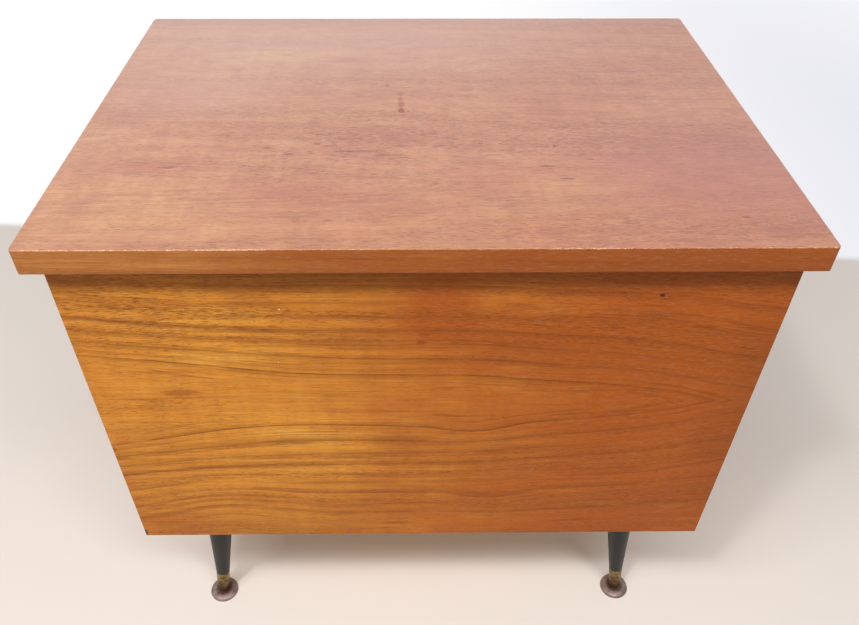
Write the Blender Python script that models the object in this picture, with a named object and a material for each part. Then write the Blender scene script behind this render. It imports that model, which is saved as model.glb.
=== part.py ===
"""Storage box on legs: a straight teak-veneered box with a lift-up overhanging lid.

Four mitred walls stand round a base board. The lid turns on a continuous hinge along the back and is
held open by a slotted stay on the right wall. Four splayed, ebonised legs screw into angled plates under
the base. Each leg ends in a brass ferrule and a glide that levels itself on a ball.

Sizes are in metres. X runs along the width, the front faces -Y, and Z = 0 is the floor.
"""

import math

import bmesh
import bpy
from mathutils import Vector

# Lid: a board with a solid lipping on each edge, and a top face that runs out over the lippings
LID_WIDTH = 0.610
LID_DEPTH = 0.4505
LID_THICKNESS = 0.0225
LID_FACE_THICKNESS = 0.0014
LIPPING_WIDTH = 0.016
LID_CORNER_RADIUS = 0.004
LID_TOP_ARRIS = 0.0007
LIPPING_ARRIS = 0.001
SIDE_OVERHANG = 0.0115
FRONT_OVERHANG = 0.0145
LID_OPENING = math.radians(100)

# Carcase: four mitred walls, a base board let into them, and a glue block in each corner
CARCASE_HEIGHT = 0.364
WALL_THICKNESS = 0.016
WALL_ARRIS = 0.0008
BASE_THICKNESS = 0.015
BASE_RECESS = 0.002
WALL_LAND = 0.008
BLOCK_SIZE = 0.022
BLOCK_CHAMFER = 0.010
BLOCK_BELOW_TOP = 0.030

# Fits: how far touching pieces stay apart, and how far a cutter runs past what it cuts
SEAT_GAP = 0.0003
OVERRUN = 0.002

# Continuous hinge, swaged so that the closed leaves lie close together at the barrel's middle
BARREL_RADIUS = 0.0025
BARREL_WALL = 0.0011
PIN_PLAY = 0.0001
LEAF_THICKNESS = 0.001
LEAF_WIDTH = 0.0145
LEAF_SPACING = 0.0004
KNUCKLE_PITCH = 0.0254
KNUCKLE_GAP = 0.0003
NOTCH_PLAY = 0.0004
HINGE_END_MARGIN = 0.024
KNUCKLES_PER_SCREW = 2
SCREW_HOLE_RADIUS = 0.0016
COUNTERSINK_RADIUS = 0.003

# Slotted stay: both its pivots lie this far from the hinge line, so the arm always passes over its stud
STAY_RADIUS = 0.120
STAY_PIVOT_DROP = 0.014
STAY_CLOSED_ANGLE = math.radians(12)
STAY_PIN_RADIUS = 0.0025
STAY_PIN_PLAY = 0.0003
STAY_HEAD_RADIUS = 0.0048
STAY_HEAD_HEIGHT = 0.0011
STAY_STOP_PLAY = 0.0006
ARM_WIDTH = 0.013
ARM_THICKNESS = 0.002
ARM_OFFSET = 0.005
BRACKET_THICKNESS = 0.0018
BRACKET_LENGTH = 0.034
BRACKET_FLANGE = 0.014
BRACKET_TAB_BELOW_PIVOT = 0.008
BRACKET_CORNER = 0.006
STUD_PLATE_THICKNESS = 0.0015
STUD_PLATE_WIDTH = 0.013
STUD_PLATE_LENGTH = 0.036
STUD_SHOULDER_RADIUS = 0.004

# Legs: turned, tapered and leaning outwards along the diagonals
LEG_HEIGHT = 0.192
LEG_SPLAY = math.radians(8)
FOOT_INSET = 0.046
LEG_TOP_RADIUS = 0.0177
LEG_ANKLE_RADIUS = 0.008
LEG_TOP_ARRIS = 0.0015

# Ferrule and self-levelling glide, measured along the leg from the middle of the glide's ball
BALL_HEIGHT = 0.0065
BALL_RADIUS = 0.004
BALL_PLAY = 0.0002
CUP_WALL = 0.0013
CUP_RIM_HEIGHT = 0.0016
NECK_RADIUS = 0.0021
FERRULE_BOTTOM = 0.001
FERRULE_TOP = 0.034
FERRULE_BOTTOM_RADIUS = 0.0072
FERRULE_WALL = 0.0008
LEG_END = 0.0062
SHANK_FLANGE_RADIUS = 0.0042
SHANK_FLANGE_THICKNESS = 0.001
SHANK_RADIUS = 0.0018
SHANK_LENGTH = 0.022
SHANK_TIP = 0.004
SHANK_HOLE_SPARE = 0.002
PAD_RADIUS = 0.0169
PAD_RIM = 0.0016
PAD_EDGE = 0.0008
PAD_SHOULDER_RADIUS = 0.0076
PAD_SHOULDER_BELOW_BALL = 0.0016

# Angled mounting plate, pressed from sheet, and the hanger bolt that joins the leg to it
PLATE_WIDTH = 0.052
PLATE_CORNER = 0.006
PLATE_THICKNESS = 0.002
BOSS_BASE_RADIUS = 0.021
BOSS_FACE_RADIUS = 0.016
BOSS_DROP = 0.0085
COLLAR_RADIUS = 0.007
COLLAR_HEIGHT = 0.003
PLATE_HOLE_INSET = 0.0075
BOLT_RADIUS = 0.004
BOLT_PLAY = 0.0003
BOLT_IN_LEG = 0.030
BOLT_TIP_CHAMFER = 0.001

# Facets round a full turn
BARREL_SIDES = 12
HOLE_SIDES = 8
LEG_SIDES = 24
SHANK_SIDES = 12
PAD_SIDES = 24
PLATE_SIDES = 20
STAY_SIDES = 16
ARC_STEPS = 3

# Worked out from the sizes above
CARCASE_WIDTH = LID_WIDTH - 2 * SIDE_OVERHANG
CARCASE_DEPTH = LID_DEPTH - FRONT_OVERHANG
TOTAL_DEPTH = LID_DEPTH + SEAT_GAP + 2 * BARREL_RADIUS
LID_FRONT_Y = -TOTAL_DEPTH / 2
FRONT_Y = LID_FRONT_Y + FRONT_OVERHANG
BACK_Y = LID_FRONT_Y + LID_DEPTH
LID_MIDDLE_Y = LID_FRONT_Y + LID_DEPTH / 2
CARCASE_MIDDLE_Y = FRONT_Y + CARCASE_DEPTH / 2
WALL_BOTTOM = LEG_HEIGHT
WALL_TOP = WALL_BOTTOM + CARCASE_HEIGHT
LID_BOTTOM = WALL_TOP + SEAT_GAP
AXIS_Y = BACK_Y + SEAT_GAP + BARREL_RADIUS
AXIS_Z = WALL_TOP + SEAT_GAP / 2
BASE_BOTTOM = WALL_BOTTOM + BASE_RECESS
BASE_TOP = BASE_BOTTOM + BASE_THICKNESS
INNER_X = CARCASE_WIDTH / 2 - WALL_THICKNESS
FOOT_X = CARCASE_WIDTH / 2 - FOOT_INSET
FOOT_Y = CARCASE_DEPTH / 2 - FOOT_INSET
FULL_TURN = 2 * math.pi
INWARDS = (0, -math.pi / 2, 0)

# Finishes: sRGB colour read off the object, roughness and metallic
FINISHES = {
    "teak_veneer": ("b4672f", 0.42, 0.0),
    "teak_lid": ("b8765a", 0.40, 0.0),
    "plywood": ("c29a68", 0.70, 0.0),
    "softwood": ("cfae7c", 0.75, 0.0),
    "brass": ("a8853f", 0.35, 1.0),
    "bronzed_steel": ("6e5549", 0.40, 0.8),
    "zinc_steel": ("9a9a96", 0.40, 1.0),
    "ebonised_beech": ("2b2c2c", 0.45, 0.0),
}
SRGB_CURVE = 2.2


def clear_scene():
    for old in list(bpy.data.objects):
        bpy.data.objects.remove(old, do_unlink=True)


def make_material(name):
    colour, roughness, metallic = FINISHES[name]
    linear = [(int(colour[i : i + 2], 16) / 255) ** SRGB_CURVE for i in (0, 2, 4)]
    material = bpy.data.materials.new(name)
    material.use_nodes = True
    shader = material.node_tree.nodes["Principled BSDF"]
    shader.inputs["Base Color"].default_value = (*linear, 1.0)
    shader.inputs["Roughness"].default_value = roughness
    shader.inputs["Metallic"].default_value = metallic
    return material


def add_object(name, mesh, material, parent=None, place=(0, 0, 0), turn=(0, 0, 0)):
    """Puts a mesh with its material, or an empty where mesh is None, in the scene under a name."""
    obj = bpy.data.objects.new(name, mesh)
    bpy.context.scene.collection.objects.link(obj)
    obj.parent = parent
    obj.location = place
    obj.rotation_euler = turn
    if material and not mesh.materials:
        mesh.materials.append(bpy.data.materials[material])
    return obj


def add_helper(name, mesh, parent=None, place=(0, 0, 0), turn=(0, 0, 0)):
    """A cutter or an operand: seen as wire in the viewport and left out of the render."""
    obj = add_object(name, mesh, None, parent, place, turn)
    obj.hide_render = True
    obj.display_type = "WIRE"
    return obj


def combine(obj, other, operation):
    modifier = obj.modifiers.new(other.name, "BOOLEAN")
    modifier.operation = operation
    modifier.object = other
    modifier.solver = "EXACT"


def to_mesh(form, name, smooth=False):
    bmesh.ops.recalc_face_normals(form, faces=form.faces)
    mesh = bpy.data.meshes.new(name)
    form.to_mesh(mesh)
    form.free()
    if smooth:
        mesh.shade_smooth()
        mesh.set_sharp_from_angle(angle=math.radians(35))
    return mesh


def extruded(outline, depth):
    """A bmesh prism: an outline in the XY plane, pulled up along Z from 0 to depth."""
    form = bmesh.new()
    corners = [form.verts.new((x, y, 0)) for x, y in outline]
    face = form.faces.new(corners)
    pulled = bmesh.ops.extrude_face_region(form, geom=[face])
    moved = [item for item in pulled["geom"] if isinstance(item, bmesh.types.BMVert)]
    bmesh.ops.translate(form, verts=moved, vec=(0, 0, depth))
    return form


def turned(profiles, sides, smooth=True, name="turned"):
    """A mesh turned round Z from one or more profiles of (radius, height).

    A profile that starts and ends on the axis gives a solid; any other one is closed into a ring.
    """
    form = bmesh.new()
    for profile in profiles:
        points = [form.verts.new((radius, 0, height)) for radius, height in profile]
        pairs = list(zip(points, points[1:]))
        if profile[0][0] > 0:
            pairs.append((points[-1], points[0]))
        for first, second in pairs:
            form.edges.new((first, second))
    around = {"cent": (0, 0, 0), "axis": (0, 0, 1), "angle": FULL_TURN, "steps": sides}
    bmesh.ops.spin(form, geom=form.verts[:] + form.edges[:], use_merge=True, **around)
    bmesh.ops.remove_doubles(form, verts=form.verts, dist=SEAT_GAP / 100)
    return to_mesh(form, name, smooth)


def rod(radius, low, high):
    """The profile of a plain round rod."""
    return [(0, low), (radius, low), (radius, high), (0, high)]


def bridged(loops, name):
    """A mesh through a closed row of loops that all have the same number of points."""
    form = bmesh.new()
    rings = [[form.verts.new(point) for point in loop] for loop in loops]
    for ring, following in zip(rings, rings[1:] + rings[:1]):
        for i in range(len(ring)):
            j = (i + 1) % len(ring)
            form.faces.new((ring[i], ring[j], following[j], following[i]))
    return to_mesh(form, name, smooth=True)


def arc(centre, radius, start, end, steps):
    """Points on an arc from one angle to another, ends included."""
    angles = [start + (end - start) * i / steps for i in range(steps + 1)]
    return [(centre[0] + radius * math.cos(a), centre[1] + radius * math.sin(a)) for a in angles]


def rounded_outline(corners, steps=ARC_STEPS):
    """An outline from (x, y, radius) corners, with an arc at each corner that has a radius."""
    outline = []
    for i, (x, y, radius) in enumerate(corners):
        here = Vector((x, y))
        if radius == 0:
            outline.append((x, y))
            continue
        before = Vector(corners[i - 1][:2]) - here
        after = Vector(corners[(i + 1) % len(corners)][:2]) - here
        half = before.angle(after) / 2
        centre = here + (before.normalized() + after.normalized()).normalized() * radius / math.sin(half)
        first = here + before.normalized() * radius / math.tan(half) - centre
        last = here + after.normalized() * radius / math.tan(half) - centre
        start = math.atan2(first.y, first.x)
        sweep = math.atan2(first.cross(last), first.dot(last))
        outline += arc(centre, radius, start, start + sweep, steps)
    return outline


def box(size, centre=(0, 0, 0), name="box"):
    form = bmesh.new()
    bmesh.ops.create_cube(form, size=1)
    bmesh.ops.scale(form, vec=size, verts=form.verts)
    bmesh.ops.translate(form, vec=centre, verts=form.verts)
    return to_mesh(form, name)


def span_box(low, high, name="box"):
    """A box from its lowest to its highest corner."""
    size = [b - a for a, b in zip(low, high)]
    centre = [(a + b) / 2 for a, b in zip(low, high)]
    return box(size, centre, name)


def stadium(length, width, steps=6):
    """A flat bar's outline with round ends, from the middle of one end's arc at 0 down to -length in Y."""
    end = width / 2
    return arc((0, 0), end, 0, math.pi, steps) + arc((0, -length), end, math.pi, FULL_TURN, steps)


def lay_across(form):
    """Turns a form so that its Z runs along X, its X along Y and its Y along Z."""
    for vert in form.verts:
        x, y, z = vert.co
        vert.co = (z, x, y)
    return form


def wall_profile():
    """A wall's section: (distance in from the outer face, height), with the rebate for the base board."""
    rebate_top = BASE_RECESS + BASE_THICKNESS + SEAT_GAP
    corners = [
        (0, 0, WALL_ARRIS),
        (WALL_LAND, 0, 0),
        (WALL_LAND, rebate_top, 0),
        (WALL_THICKNESS, rebate_top, 0),
        (WALL_THICKNESS, CARCASE_HEIGHT, WALL_ARRIS),
        (0, CARCASE_HEIGHT, WALL_ARRIS),
    ]
    return rounded_outline(corners)


def mitred_wall(length, name):
    """A wall along X with its outer face at Y = 0, its section pulled along X and mitred at both ends."""
    form = bmesh.new()
    half = (length - SEAT_GAP) / 2
    ends = []
    for side in (-1, 1):
        ends.append([form.verts.new((side * (half - depth), depth, z)) for depth, z in wall_profile()])
        form.faces.new(ends[-1])
    for i in range(len(ends[0])):
        j = (i + 1) % len(ends[0])
        form.faces.new((ends[0][i], ends[0][j], ends[1][j], ends[1][i]))
    return to_mesh(form, name)


def make_walls():
    """Front, back, left and right walls; each inner face looks to the middle of the box."""
    layout = {
        "front_panel": (CARCASE_WIDTH, (0, FRONT_Y), 0),
        "back_panel": (CARCASE_WIDTH, (0, BACK_Y), math.pi),
        "left_panel": (CARCASE_DEPTH, (-CARCASE_WIDTH / 2, CARCASE_MIDDLE_Y), -math.pi / 2),
        "right_panel": (CARCASE_DEPTH, (CARCASE_WIDTH / 2, CARCASE_MIDDLE_Y), math.pi / 2),
    }
    walls = {}
    for name, (length, (x, y), heading) in layout.items():
        mesh = mitred_wall(length, name)
        walls[name] = add_object(name, mesh, "teak_veneer", place=(x, y, WALL_BOTTOM), turn=(0, 0, heading))
    return walls


def make_base():
    """The base board sits up against the shoulder of the walls' rebate."""
    margin = WALL_LAND + SEAT_GAP
    low = (-CARCASE_WIDTH / 2 + margin, FRONT_Y + margin, BASE_BOTTOM)
    high = (CARCASE_WIDTH / 2 - margin, BACK_Y - margin, BASE_TOP)
    add_object("base_board", span_box(low, high, "base_board"), "plywood")


def make_corner_blocks():
    """A chamfered softwood block glued into each inner corner, from the base to below the rim."""
    corners = [(0, 0), (BLOCK_SIZE, 0), (BLOCK_SIZE, BLOCK_SIZE - BLOCK_CHAMFER)]
    corners += [(BLOCK_SIZE - BLOCK_CHAMFER, BLOCK_SIZE), (0, BLOCK_SIZE)]
    low = BASE_TOP + SEAT_GAP
    mesh = to_mesh(extruded(corners, WALL_TOP - BLOCK_BELOW_TOP - low), "corner_block")
    inside_x = INNER_X - SEAT_GAP
    inside_y = CARCASE_DEPTH / 2 - WALL_THICKNESS - SEAT_GAP
    layout = [("front_left", -1, -1), ("front_right", 1, -1), ("back_right", 1, 1), ("back_left", -1, 1)]
    for quarter, (name, x, y) in enumerate(layout):
        place = (x * inside_x, CARCASE_MIDDLE_Y + y * inside_y, low)
        turn = (0, 0, quarter * math.pi / 2)
        add_object(f"{name}_corner_block", mesh, "softwood", place=place, turn=turn)


def lipping(length, name):
    """A lid lipping along X with its outer face at Y = 0, mitred, rounded in plan and eased at its foot."""
    radius = LID_CORNER_RADIUS
    half = (length - SEAT_GAP) / 2
    right = arc((half - radius, radius), radius, -math.pi / 2, -math.pi / 4, ARC_STEPS)
    outer = [(-x, y) for x, y in reversed(right)] + right
    inner = [(half - LIPPING_WIDTH, LIPPING_WIDTH), (LIPPING_WIDTH - half, LIPPING_WIDTH)]
    form = extruded(outer + inner, LID_THICKNESS - LID_FACE_THICKNESS - SEAT_GAP)
    foot = [edge for edge in form.edges if all(is_on_foot(vert, outer) for vert in edge.verts)]
    bmesh.ops.bevel(form, geom=foot, offset=LIPPING_ARRIS, segments=2, profile=0.5, affect="EDGES")
    return to_mesh(form, name)


def is_on_foot(vert, outer):
    """True for a point on the foot of the lipping's outer face."""
    low = abs(vert.co.z) < SEAT_GAP
    return low and any((vert.co.xy - Vector(point)).length < SEAT_GAP / 10 for point in outer)


def lid_face():
    """The lid's top face, as wide as the whole lid, with rounded corners and an eased upper edge."""
    half_x, half_y, radius = LID_WIDTH / 2, LID_DEPTH / 2, LID_CORNER_RADIUS
    corners = [(-half_x, -half_y, radius), (half_x, -half_y, radius)]
    corners += [(half_x, half_y, radius), (-half_x, half_y, radius)]
    form = extruded(rounded_outline(corners, 2 * ARC_STEPS), LID_FACE_THICKNESS)
    rim = [edge for edge in form.edges if all(vert.co.z > LID_FACE_THICKNESS / 2 for vert in edge.verts)]
    bmesh.ops.bevel(form, geom=rim, offset=LID_TOP_ARRIS, segments=2, profile=0.5, affect="EDGES")
    return to_mesh(form, "lid_board")


def make_lid():
    """The lid board and the four mitred lippings under the edges of its top face."""
    face_bottom = LID_THICKNESS - LID_FACE_THICKNESS
    place = (0, LID_MIDDLE_Y, LID_BOTTOM + face_bottom)
    board = add_object("lid_board", lid_face(), "teak_lid", place=place)
    margin = LIPPING_WIDTH + SEAT_GAP
    size = (LID_WIDTH - 2 * margin, LID_DEPTH - 2 * margin, face_bottom + LID_FACE_THICKNESS / 2)
    core = box(size, (0, 0, size[2] / 2 - face_bottom), "lid_core")
    combine(board, add_helper("lid_core", core, place=place), "UNION")
    layout = {
        "lid_front_lipping": (LID_WIDTH, (0, LID_FRONT_Y), 0),
        "lid_back_lipping": (LID_WIDTH, (0, BACK_Y), math.pi),
        "lid_left_lipping": (LID_DEPTH, (-LID_WIDTH / 2, LID_MIDDLE_Y), -math.pi / 2),
        "lid_right_lipping": (LID_DEPTH, (LID_WIDTH / 2, LID_MIDDLE_Y), math.pi / 2),
    }
    lippings = {}
    for name, (length, (x, y), heading) in layout.items():
        mesh = lipping(length, name)
        lippings[name] = add_object(name, mesh, "teak_lid", place=(x, y, LID_BOTTOM), turn=(0, 0, heading))
    return lippings


def knuckle_count():
    """The largest odd number of knuckles that fits between the hinge's end margins."""
    count = int((CARCASE_WIDTH - 2 * HINGE_END_MARGIN) / KNUCKLE_PITCH)
    return count - 1 + count % 2


def hinge_length():
    return knuckle_count() * KNUCKLE_PITCH


def knuckle_spans(first):
    """Start and end along X of every second knuckle, from the first one given."""
    start = -hinge_length() / 2
    spans = []
    for i in range(first, knuckle_count(), 2):
        left = start + i * KNUCKLE_PITCH + KNUCKLE_GAP / 2
        spans.append((left, left + KNUCKLE_PITCH - KNUCKLE_GAP))
    return spans


def leaf_outline(spans):
    """The leaf's outline: a strip whose edge by the barrel is cut into tabs, one for each knuckle."""
    half = hinge_length() / 2
    notch = BARREL_RADIUS + NOTCH_PLAY
    tab = BARREL_RADIUS - BARREL_WALL / 2
    outline = [(half, -LEAF_WIDTH), (-half, -LEAF_WIDTH), (-half, -notch)]
    for left, right in spans:
        outline += [(left, -notch), (left, -tab), (right, -tab), (right, -notch)]
    outline.append((half, -notch))
    return list(reversed(outline))


def screw_places():
    """Where the leaf's screws stand along X, in the middle of every second knuckle."""
    step = KNUCKLE_PITCH * KNUCKLES_PER_SCREW
    count = int(hinge_length() / step)
    return [(i - (count - 1) / 2) * step for i in range(count)]


def countersunk_cutter(places, thickness, opens_up):
    """One cutter of countersunk holes at (x, y) places through a sheet that spans 0 to thickness in Z."""
    profile = [(0, -OVERRUN), (SCREW_HOLE_RADIUS, -OVERRUN), (SCREW_HOLE_RADIUS, 0)]
    profile += [(COUNTERSINK_RADIUS, thickness), (COUNTERSINK_RADIUS, thickness + OVERRUN)]
    profile.append((0, thickness + OVERRUN))
    if not opens_up:
        profile = [(radius, thickness - height) for radius, height in reversed(profile)]
    single = turned([profile], HOLE_SIDES, smooth=False)
    form = bmesh.new()
    for x, y in places:
        before = set(form.verts)
        form.from_mesh(single)
        added = [vert for vert in form.verts if vert not in before]
        bmesh.ops.translate(form, verts=added, vec=(x, y, 0))
    return to_mesh(form, "screw_holes")


def hinge_leaf(name, first_knuckle, above):
    """A leaf with its rolled knuckles on the hinge line, above or below the joint."""
    spans = knuckle_spans(first_knuckle)
    sheet_low = LEAF_SPACING / 2 if above else -LEAF_SPACING / 2 - LEAF_THICKNESS
    form = extruded(leaf_outline(spans), LEAF_THICKNESS)
    bmesh.ops.translate(form, verts=form.verts, vec=(0, 0, sheet_low))
    line = (0, AXIS_Y, AXIS_Z)
    leaf = add_object(name, to_mesh(form, name), "brass", place=line)
    bore = BARREL_RADIUS - BARREL_WALL
    rings = [[(bore, a), (BARREL_RADIUS, a), (BARREL_RADIUS, b), (bore, b)] for a, b in spans]
    rolled = turned(rings, BARREL_SIDES, name=name + "_knuckles")
    knuckles = add_helper(name + "_knuckles", rolled, place=line, turn=(0, math.pi / 2, 0))
    combine(leaf, knuckles, "UNION")
    row = -(BARREL_RADIUS + NOTCH_PLAY + LEAF_WIDTH) / 2
    holes = countersunk_cutter([(x, row) for x in screw_places()], LEAF_THICKNESS, opens_up=not above)
    cutter = add_helper(name + "_holes", holes, place=(0, AXIS_Y, AXIS_Z + sheet_low))
    combine(leaf, cutter, "DIFFERENCE")
    return leaf


def make_hinge(back_panel, back_lipping):
    """The continuous hinge, and the shallow gains that let its leaves into the wall and the lid."""
    hinge_leaf("hinge_leaf_carcase", 0, above=False)
    hinge_leaf("hinge_leaf_lid", 1, above=True)
    pin_radius = BARREL_RADIUS - BARREL_WALL - PIN_PLAY
    half = hinge_length() / 2
    pin = turned([rod(pin_radius, -half, half)], BARREL_SIDES, name="hinge_pin")
    add_object("hinge_pin", pin, "zinc_steel", place=(0, AXIS_Y, AXIS_Z), turn=(0, math.pi / 2, 0))
    depth = LEAF_SPACING / 2 + LEAF_THICKNESS + SEAT_GAP
    low = (-half - SEAT_GAP, AXIS_Y - LEAF_WIDTH - SEAT_GAP, AXIS_Z - depth)
    high = (half + SEAT_GAP, AXIS_Y, AXIS_Z + depth)
    gain = add_helper("hinge_gain", span_box(low, high, "hinge_gain"))
    combine(back_panel, gain, "DIFFERENCE")
    combine(back_lipping, gain, "DIFFERENCE")


def stay_points():
    """Places in the YZ plane of the arm's pivot on the lid and of the stud on the wall, lid closed."""
    pivot_angle = math.asin(STAY_PIVOT_DROP / STAY_RADIUS)
    stud_angle = pivot_angle + STAY_CLOSED_ANGLE
    pivot, stud = (
        Vector((AXIS_Y - STAY_RADIUS * math.cos(a), AXIS_Z - STAY_RADIUS * math.sin(a)))
        for a in (pivot_angle, stud_angle)
    )
    return pivot, stud


def stay_reach(lid_angle):
    """Distance from the arm's pivot to the stud when the lid stands open by an angle."""
    return 2 * STAY_RADIUS * math.sin((STAY_CLOSED_ANGLE + lid_angle) / 2)


def make_stay_arm():
    """A flat bar with round ends, a pivot hole and the long slot that slides over the stud."""
    pivot, stud = stay_points()
    along = stud - pivot
    lean = (math.atan2(along.x, -along.y), 0, 0)
    place = (INNER_X - ARM_OFFSET - ARM_THICKNESS, *pivot)
    eye = STAY_PIN_RADIUS + STAY_PIN_PLAY
    slot_start = stay_reach(0) - STAY_STOP_PLAY
    slot_end = stay_reach(LID_OPENING) + STAY_STOP_PLAY
    length = slot_end + ARM_WIDTH / 2
    bar = to_mesh(lay_across(extruded(stadium(length, ARM_WIDTH), ARM_THICKNESS)), "stay_arm")
    arm = add_object("stay_arm", bar, "brass", place=place, turn=lean)
    through = ARM_THICKNESS + 2 * OVERRUN
    slot = extruded([(x, y - slot_start) for x, y in stadium(slot_end - slot_start, 2 * eye)], through)
    hole = extruded(arc((0, 0), eye, 0, FULL_TURN - FULL_TURN / STAY_SIDES, STAY_SIDES - 1), through)
    for name, form in (("stay_arm_slot", slot), ("stay_arm_eye", hole)):
        bmesh.ops.translate(form, verts=form.verts, vec=(0, 0, -OVERRUN))
        cutter = add_helper(name, to_mesh(lay_across(form), name), place=place, turn=lean)
        combine(arm, cutter, "DIFFERENCE")


def stay_pin(name, profile, place):
    """A turned stud or rivet that stands across the arm, its profile measured inwards from the wall."""
    pin = turned([profile], STAY_SIDES, name=name)
    add_object(name, pin, "brass", place=place, turn=INWARDS)


def drill(piece, name, reach, place):
    """Bores the hole for a stay pin through a piece, from the wall to a distance inwards."""
    radius = STAY_PIN_RADIUS + STAY_PIN_PLAY
    cutter = turned([rod(radius, -OVERRUN, reach + OVERRUN)], STAY_SIDES)
    combine(piece, add_helper(name, cutter, place=place, turn=INWARDS), "DIFFERENCE")


def make_stay_bracket():
    """The folded bracket under the lid, and the rivet that the arm turns on."""
    pivot, _ = stay_points()
    tab_outer = ARM_OFFSET - SEAT_GAP
    tab_inner = tab_outer - BRACKET_THICKNESS
    top = LID_BOTTOM - SEAT_GAP - AXIS_Z
    foot = -STAY_PIVOT_DROP - BRACKET_TAB_BELOW_PIVOT
    corners = [(tab_inner, foot), (tab_outer, foot), (tab_outer, top - BRACKET_THICKNESS)]
    corners += [(BRACKET_FLANGE + tab_inner, top - BRACKET_THICKNESS), (BRACKET_FLANGE + tab_inner, top)]
    corners += [(tab_inner, top)]
    form = extruded([(-offset, height) for offset, height in corners], BRACKET_LENGTH)
    for vert in form.verts:
        x, z, y = vert.co
        vert.co = (x, y - BRACKET_LENGTH / 2, z)
    low_corners = [edge for edge in form.edges if is_low_corner(edge, foot)]
    bmesh.ops.bevel(form, geom=low_corners, offset=BRACKET_CORNER, segments=3, profile=0.5, affect="EDGES")
    place = (INNER_X, pivot.x, AXIS_Z)
    bracket = add_object("stay_lid_bracket", to_mesh(form, "stay_lid_bracket"), "brass", place=place)
    at_pivot = (INNER_X, *pivot)
    drill(bracket, "bracket_eye", tab_outer, at_pivot)
    middle = -(tab_outer + BRACKET_FLANGE + tab_inner) / 2
    spots = [(middle, side * BRACKET_LENGTH / 4) for side in (-1, 1)]
    holes = countersunk_cutter(spots, BRACKET_THICKNESS, opens_up=False)
    at_flange = (INNER_X, pivot.x, AXIS_Z + top - BRACKET_THICKNESS)
    combine(bracket, add_helper("bracket_holes", holes, place=at_flange), "DIFFERENCE")
    near = tab_inner - SEAT_GAP
    far = ARM_OFFSET + ARM_THICKNESS + SEAT_GAP
    rivet = riveted_pin(near, far, near - STAY_HEAD_HEIGHT)
    stay_pin("stay_pivot_rivet", rivet, at_pivot)


def is_low_corner(edge, foot):
    """True for the two short edges across the sheet at the foot of the bracket's tab."""
    first, second = (vert.co for vert in edge.verts)
    across = abs(first.y - second.y) < SEAT_GAP and abs(first.z - second.z) < SEAT_GAP
    return across and abs(first.z - foot) < SEAT_GAP


def riveted_pin(near, far, tail):
    """A rivet's profile: a head from tail to near, a shank to far, and the second head."""
    rim = STAY_HEAD_RADIUS
    face = rim - STAY_HEAD_HEIGHT / 2
    profile = [(0, tail), (face, tail), (rim, (tail + near) / 2), (rim, near)]
    profile += [(STAY_PIN_RADIUS, near), (STAY_PIN_RADIUS, far)]
    return profile + pin_head(far)


def pin_head(foot):
    """The profile of a stay pin's head, from its underside to the middle of its face."""
    rim = STAY_HEAD_RADIUS
    middle = foot + STAY_HEAD_HEIGHT / 2
    face = foot + STAY_HEAD_HEIGHT
    return [(rim, foot), (rim, middle), (rim - STAY_HEAD_HEIGHT / 2, face), (0, face)]


def make_stay_stud():
    """The plate on the right wall and the shouldered stud that rides in the arm's slot."""
    _, stud = stay_points()
    at_stud = (INNER_X, *stud)
    straight = STUD_PLATE_LENGTH - STUD_PLATE_WIDTH
    outline = [(x, y + straight / 2) for x, y in stadium(straight, STUD_PLATE_WIDTH)]
    sheet = extruded(outline, STUD_PLATE_THICKNESS)
    wall_side = SEAT_GAP + STUD_PLATE_THICKNESS
    mesh = to_mesh(lay_across(sheet), "stay_stud_plate")
    plate = add_object("stay_stud_plate", mesh, "brass", place=(INNER_X - wall_side, *stud))
    drill(plate, "stud_plate_bore", wall_side, at_stud)
    ends = [(-straight / 2, 0), (straight / 2, 0)]
    holes = countersunk_cutter(ends, STUD_PLATE_THICKNESS, opens_up=True)
    cutter = add_helper("stud_plate_holes", holes, place=(INNER_X - SEAT_GAP, *stud), turn=INWARDS)
    combine(plate, cutter, "DIFFERENCE")
    shoulder_foot = wall_side + SEAT_GAP
    shoulder_face = ARM_OFFSET - SEAT_GAP
    shank, shoulder = STAY_PIN_RADIUS, STUD_SHOULDER_RADIUS
    profile = [(0, SEAT_GAP), (shank, SEAT_GAP), (shank, shoulder_foot), (shoulder, shoulder_foot)]
    profile += [(shoulder, shoulder_face), (shank, shoulder_face)]
    head = ARM_OFFSET + ARM_THICKNESS + SEAT_GAP
    stay_pin("stay_stud", [*profile, (shank, head), *pin_head(head)], at_stud)


def plate_height():
    """Height of the plate's upper face above the ball, on the upright through the ball."""
    return BASE_BOTTOM - SEAT_GAP - BALL_HEIGHT


def boss_face_distance():
    """Distance along the leg from the ball to the face of the plate's boss."""
    return plate_height() / math.cos(LEG_SPLAY) - BOSS_DROP


def leg_top():
    return boss_face_distance() - SEAT_GAP


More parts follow.
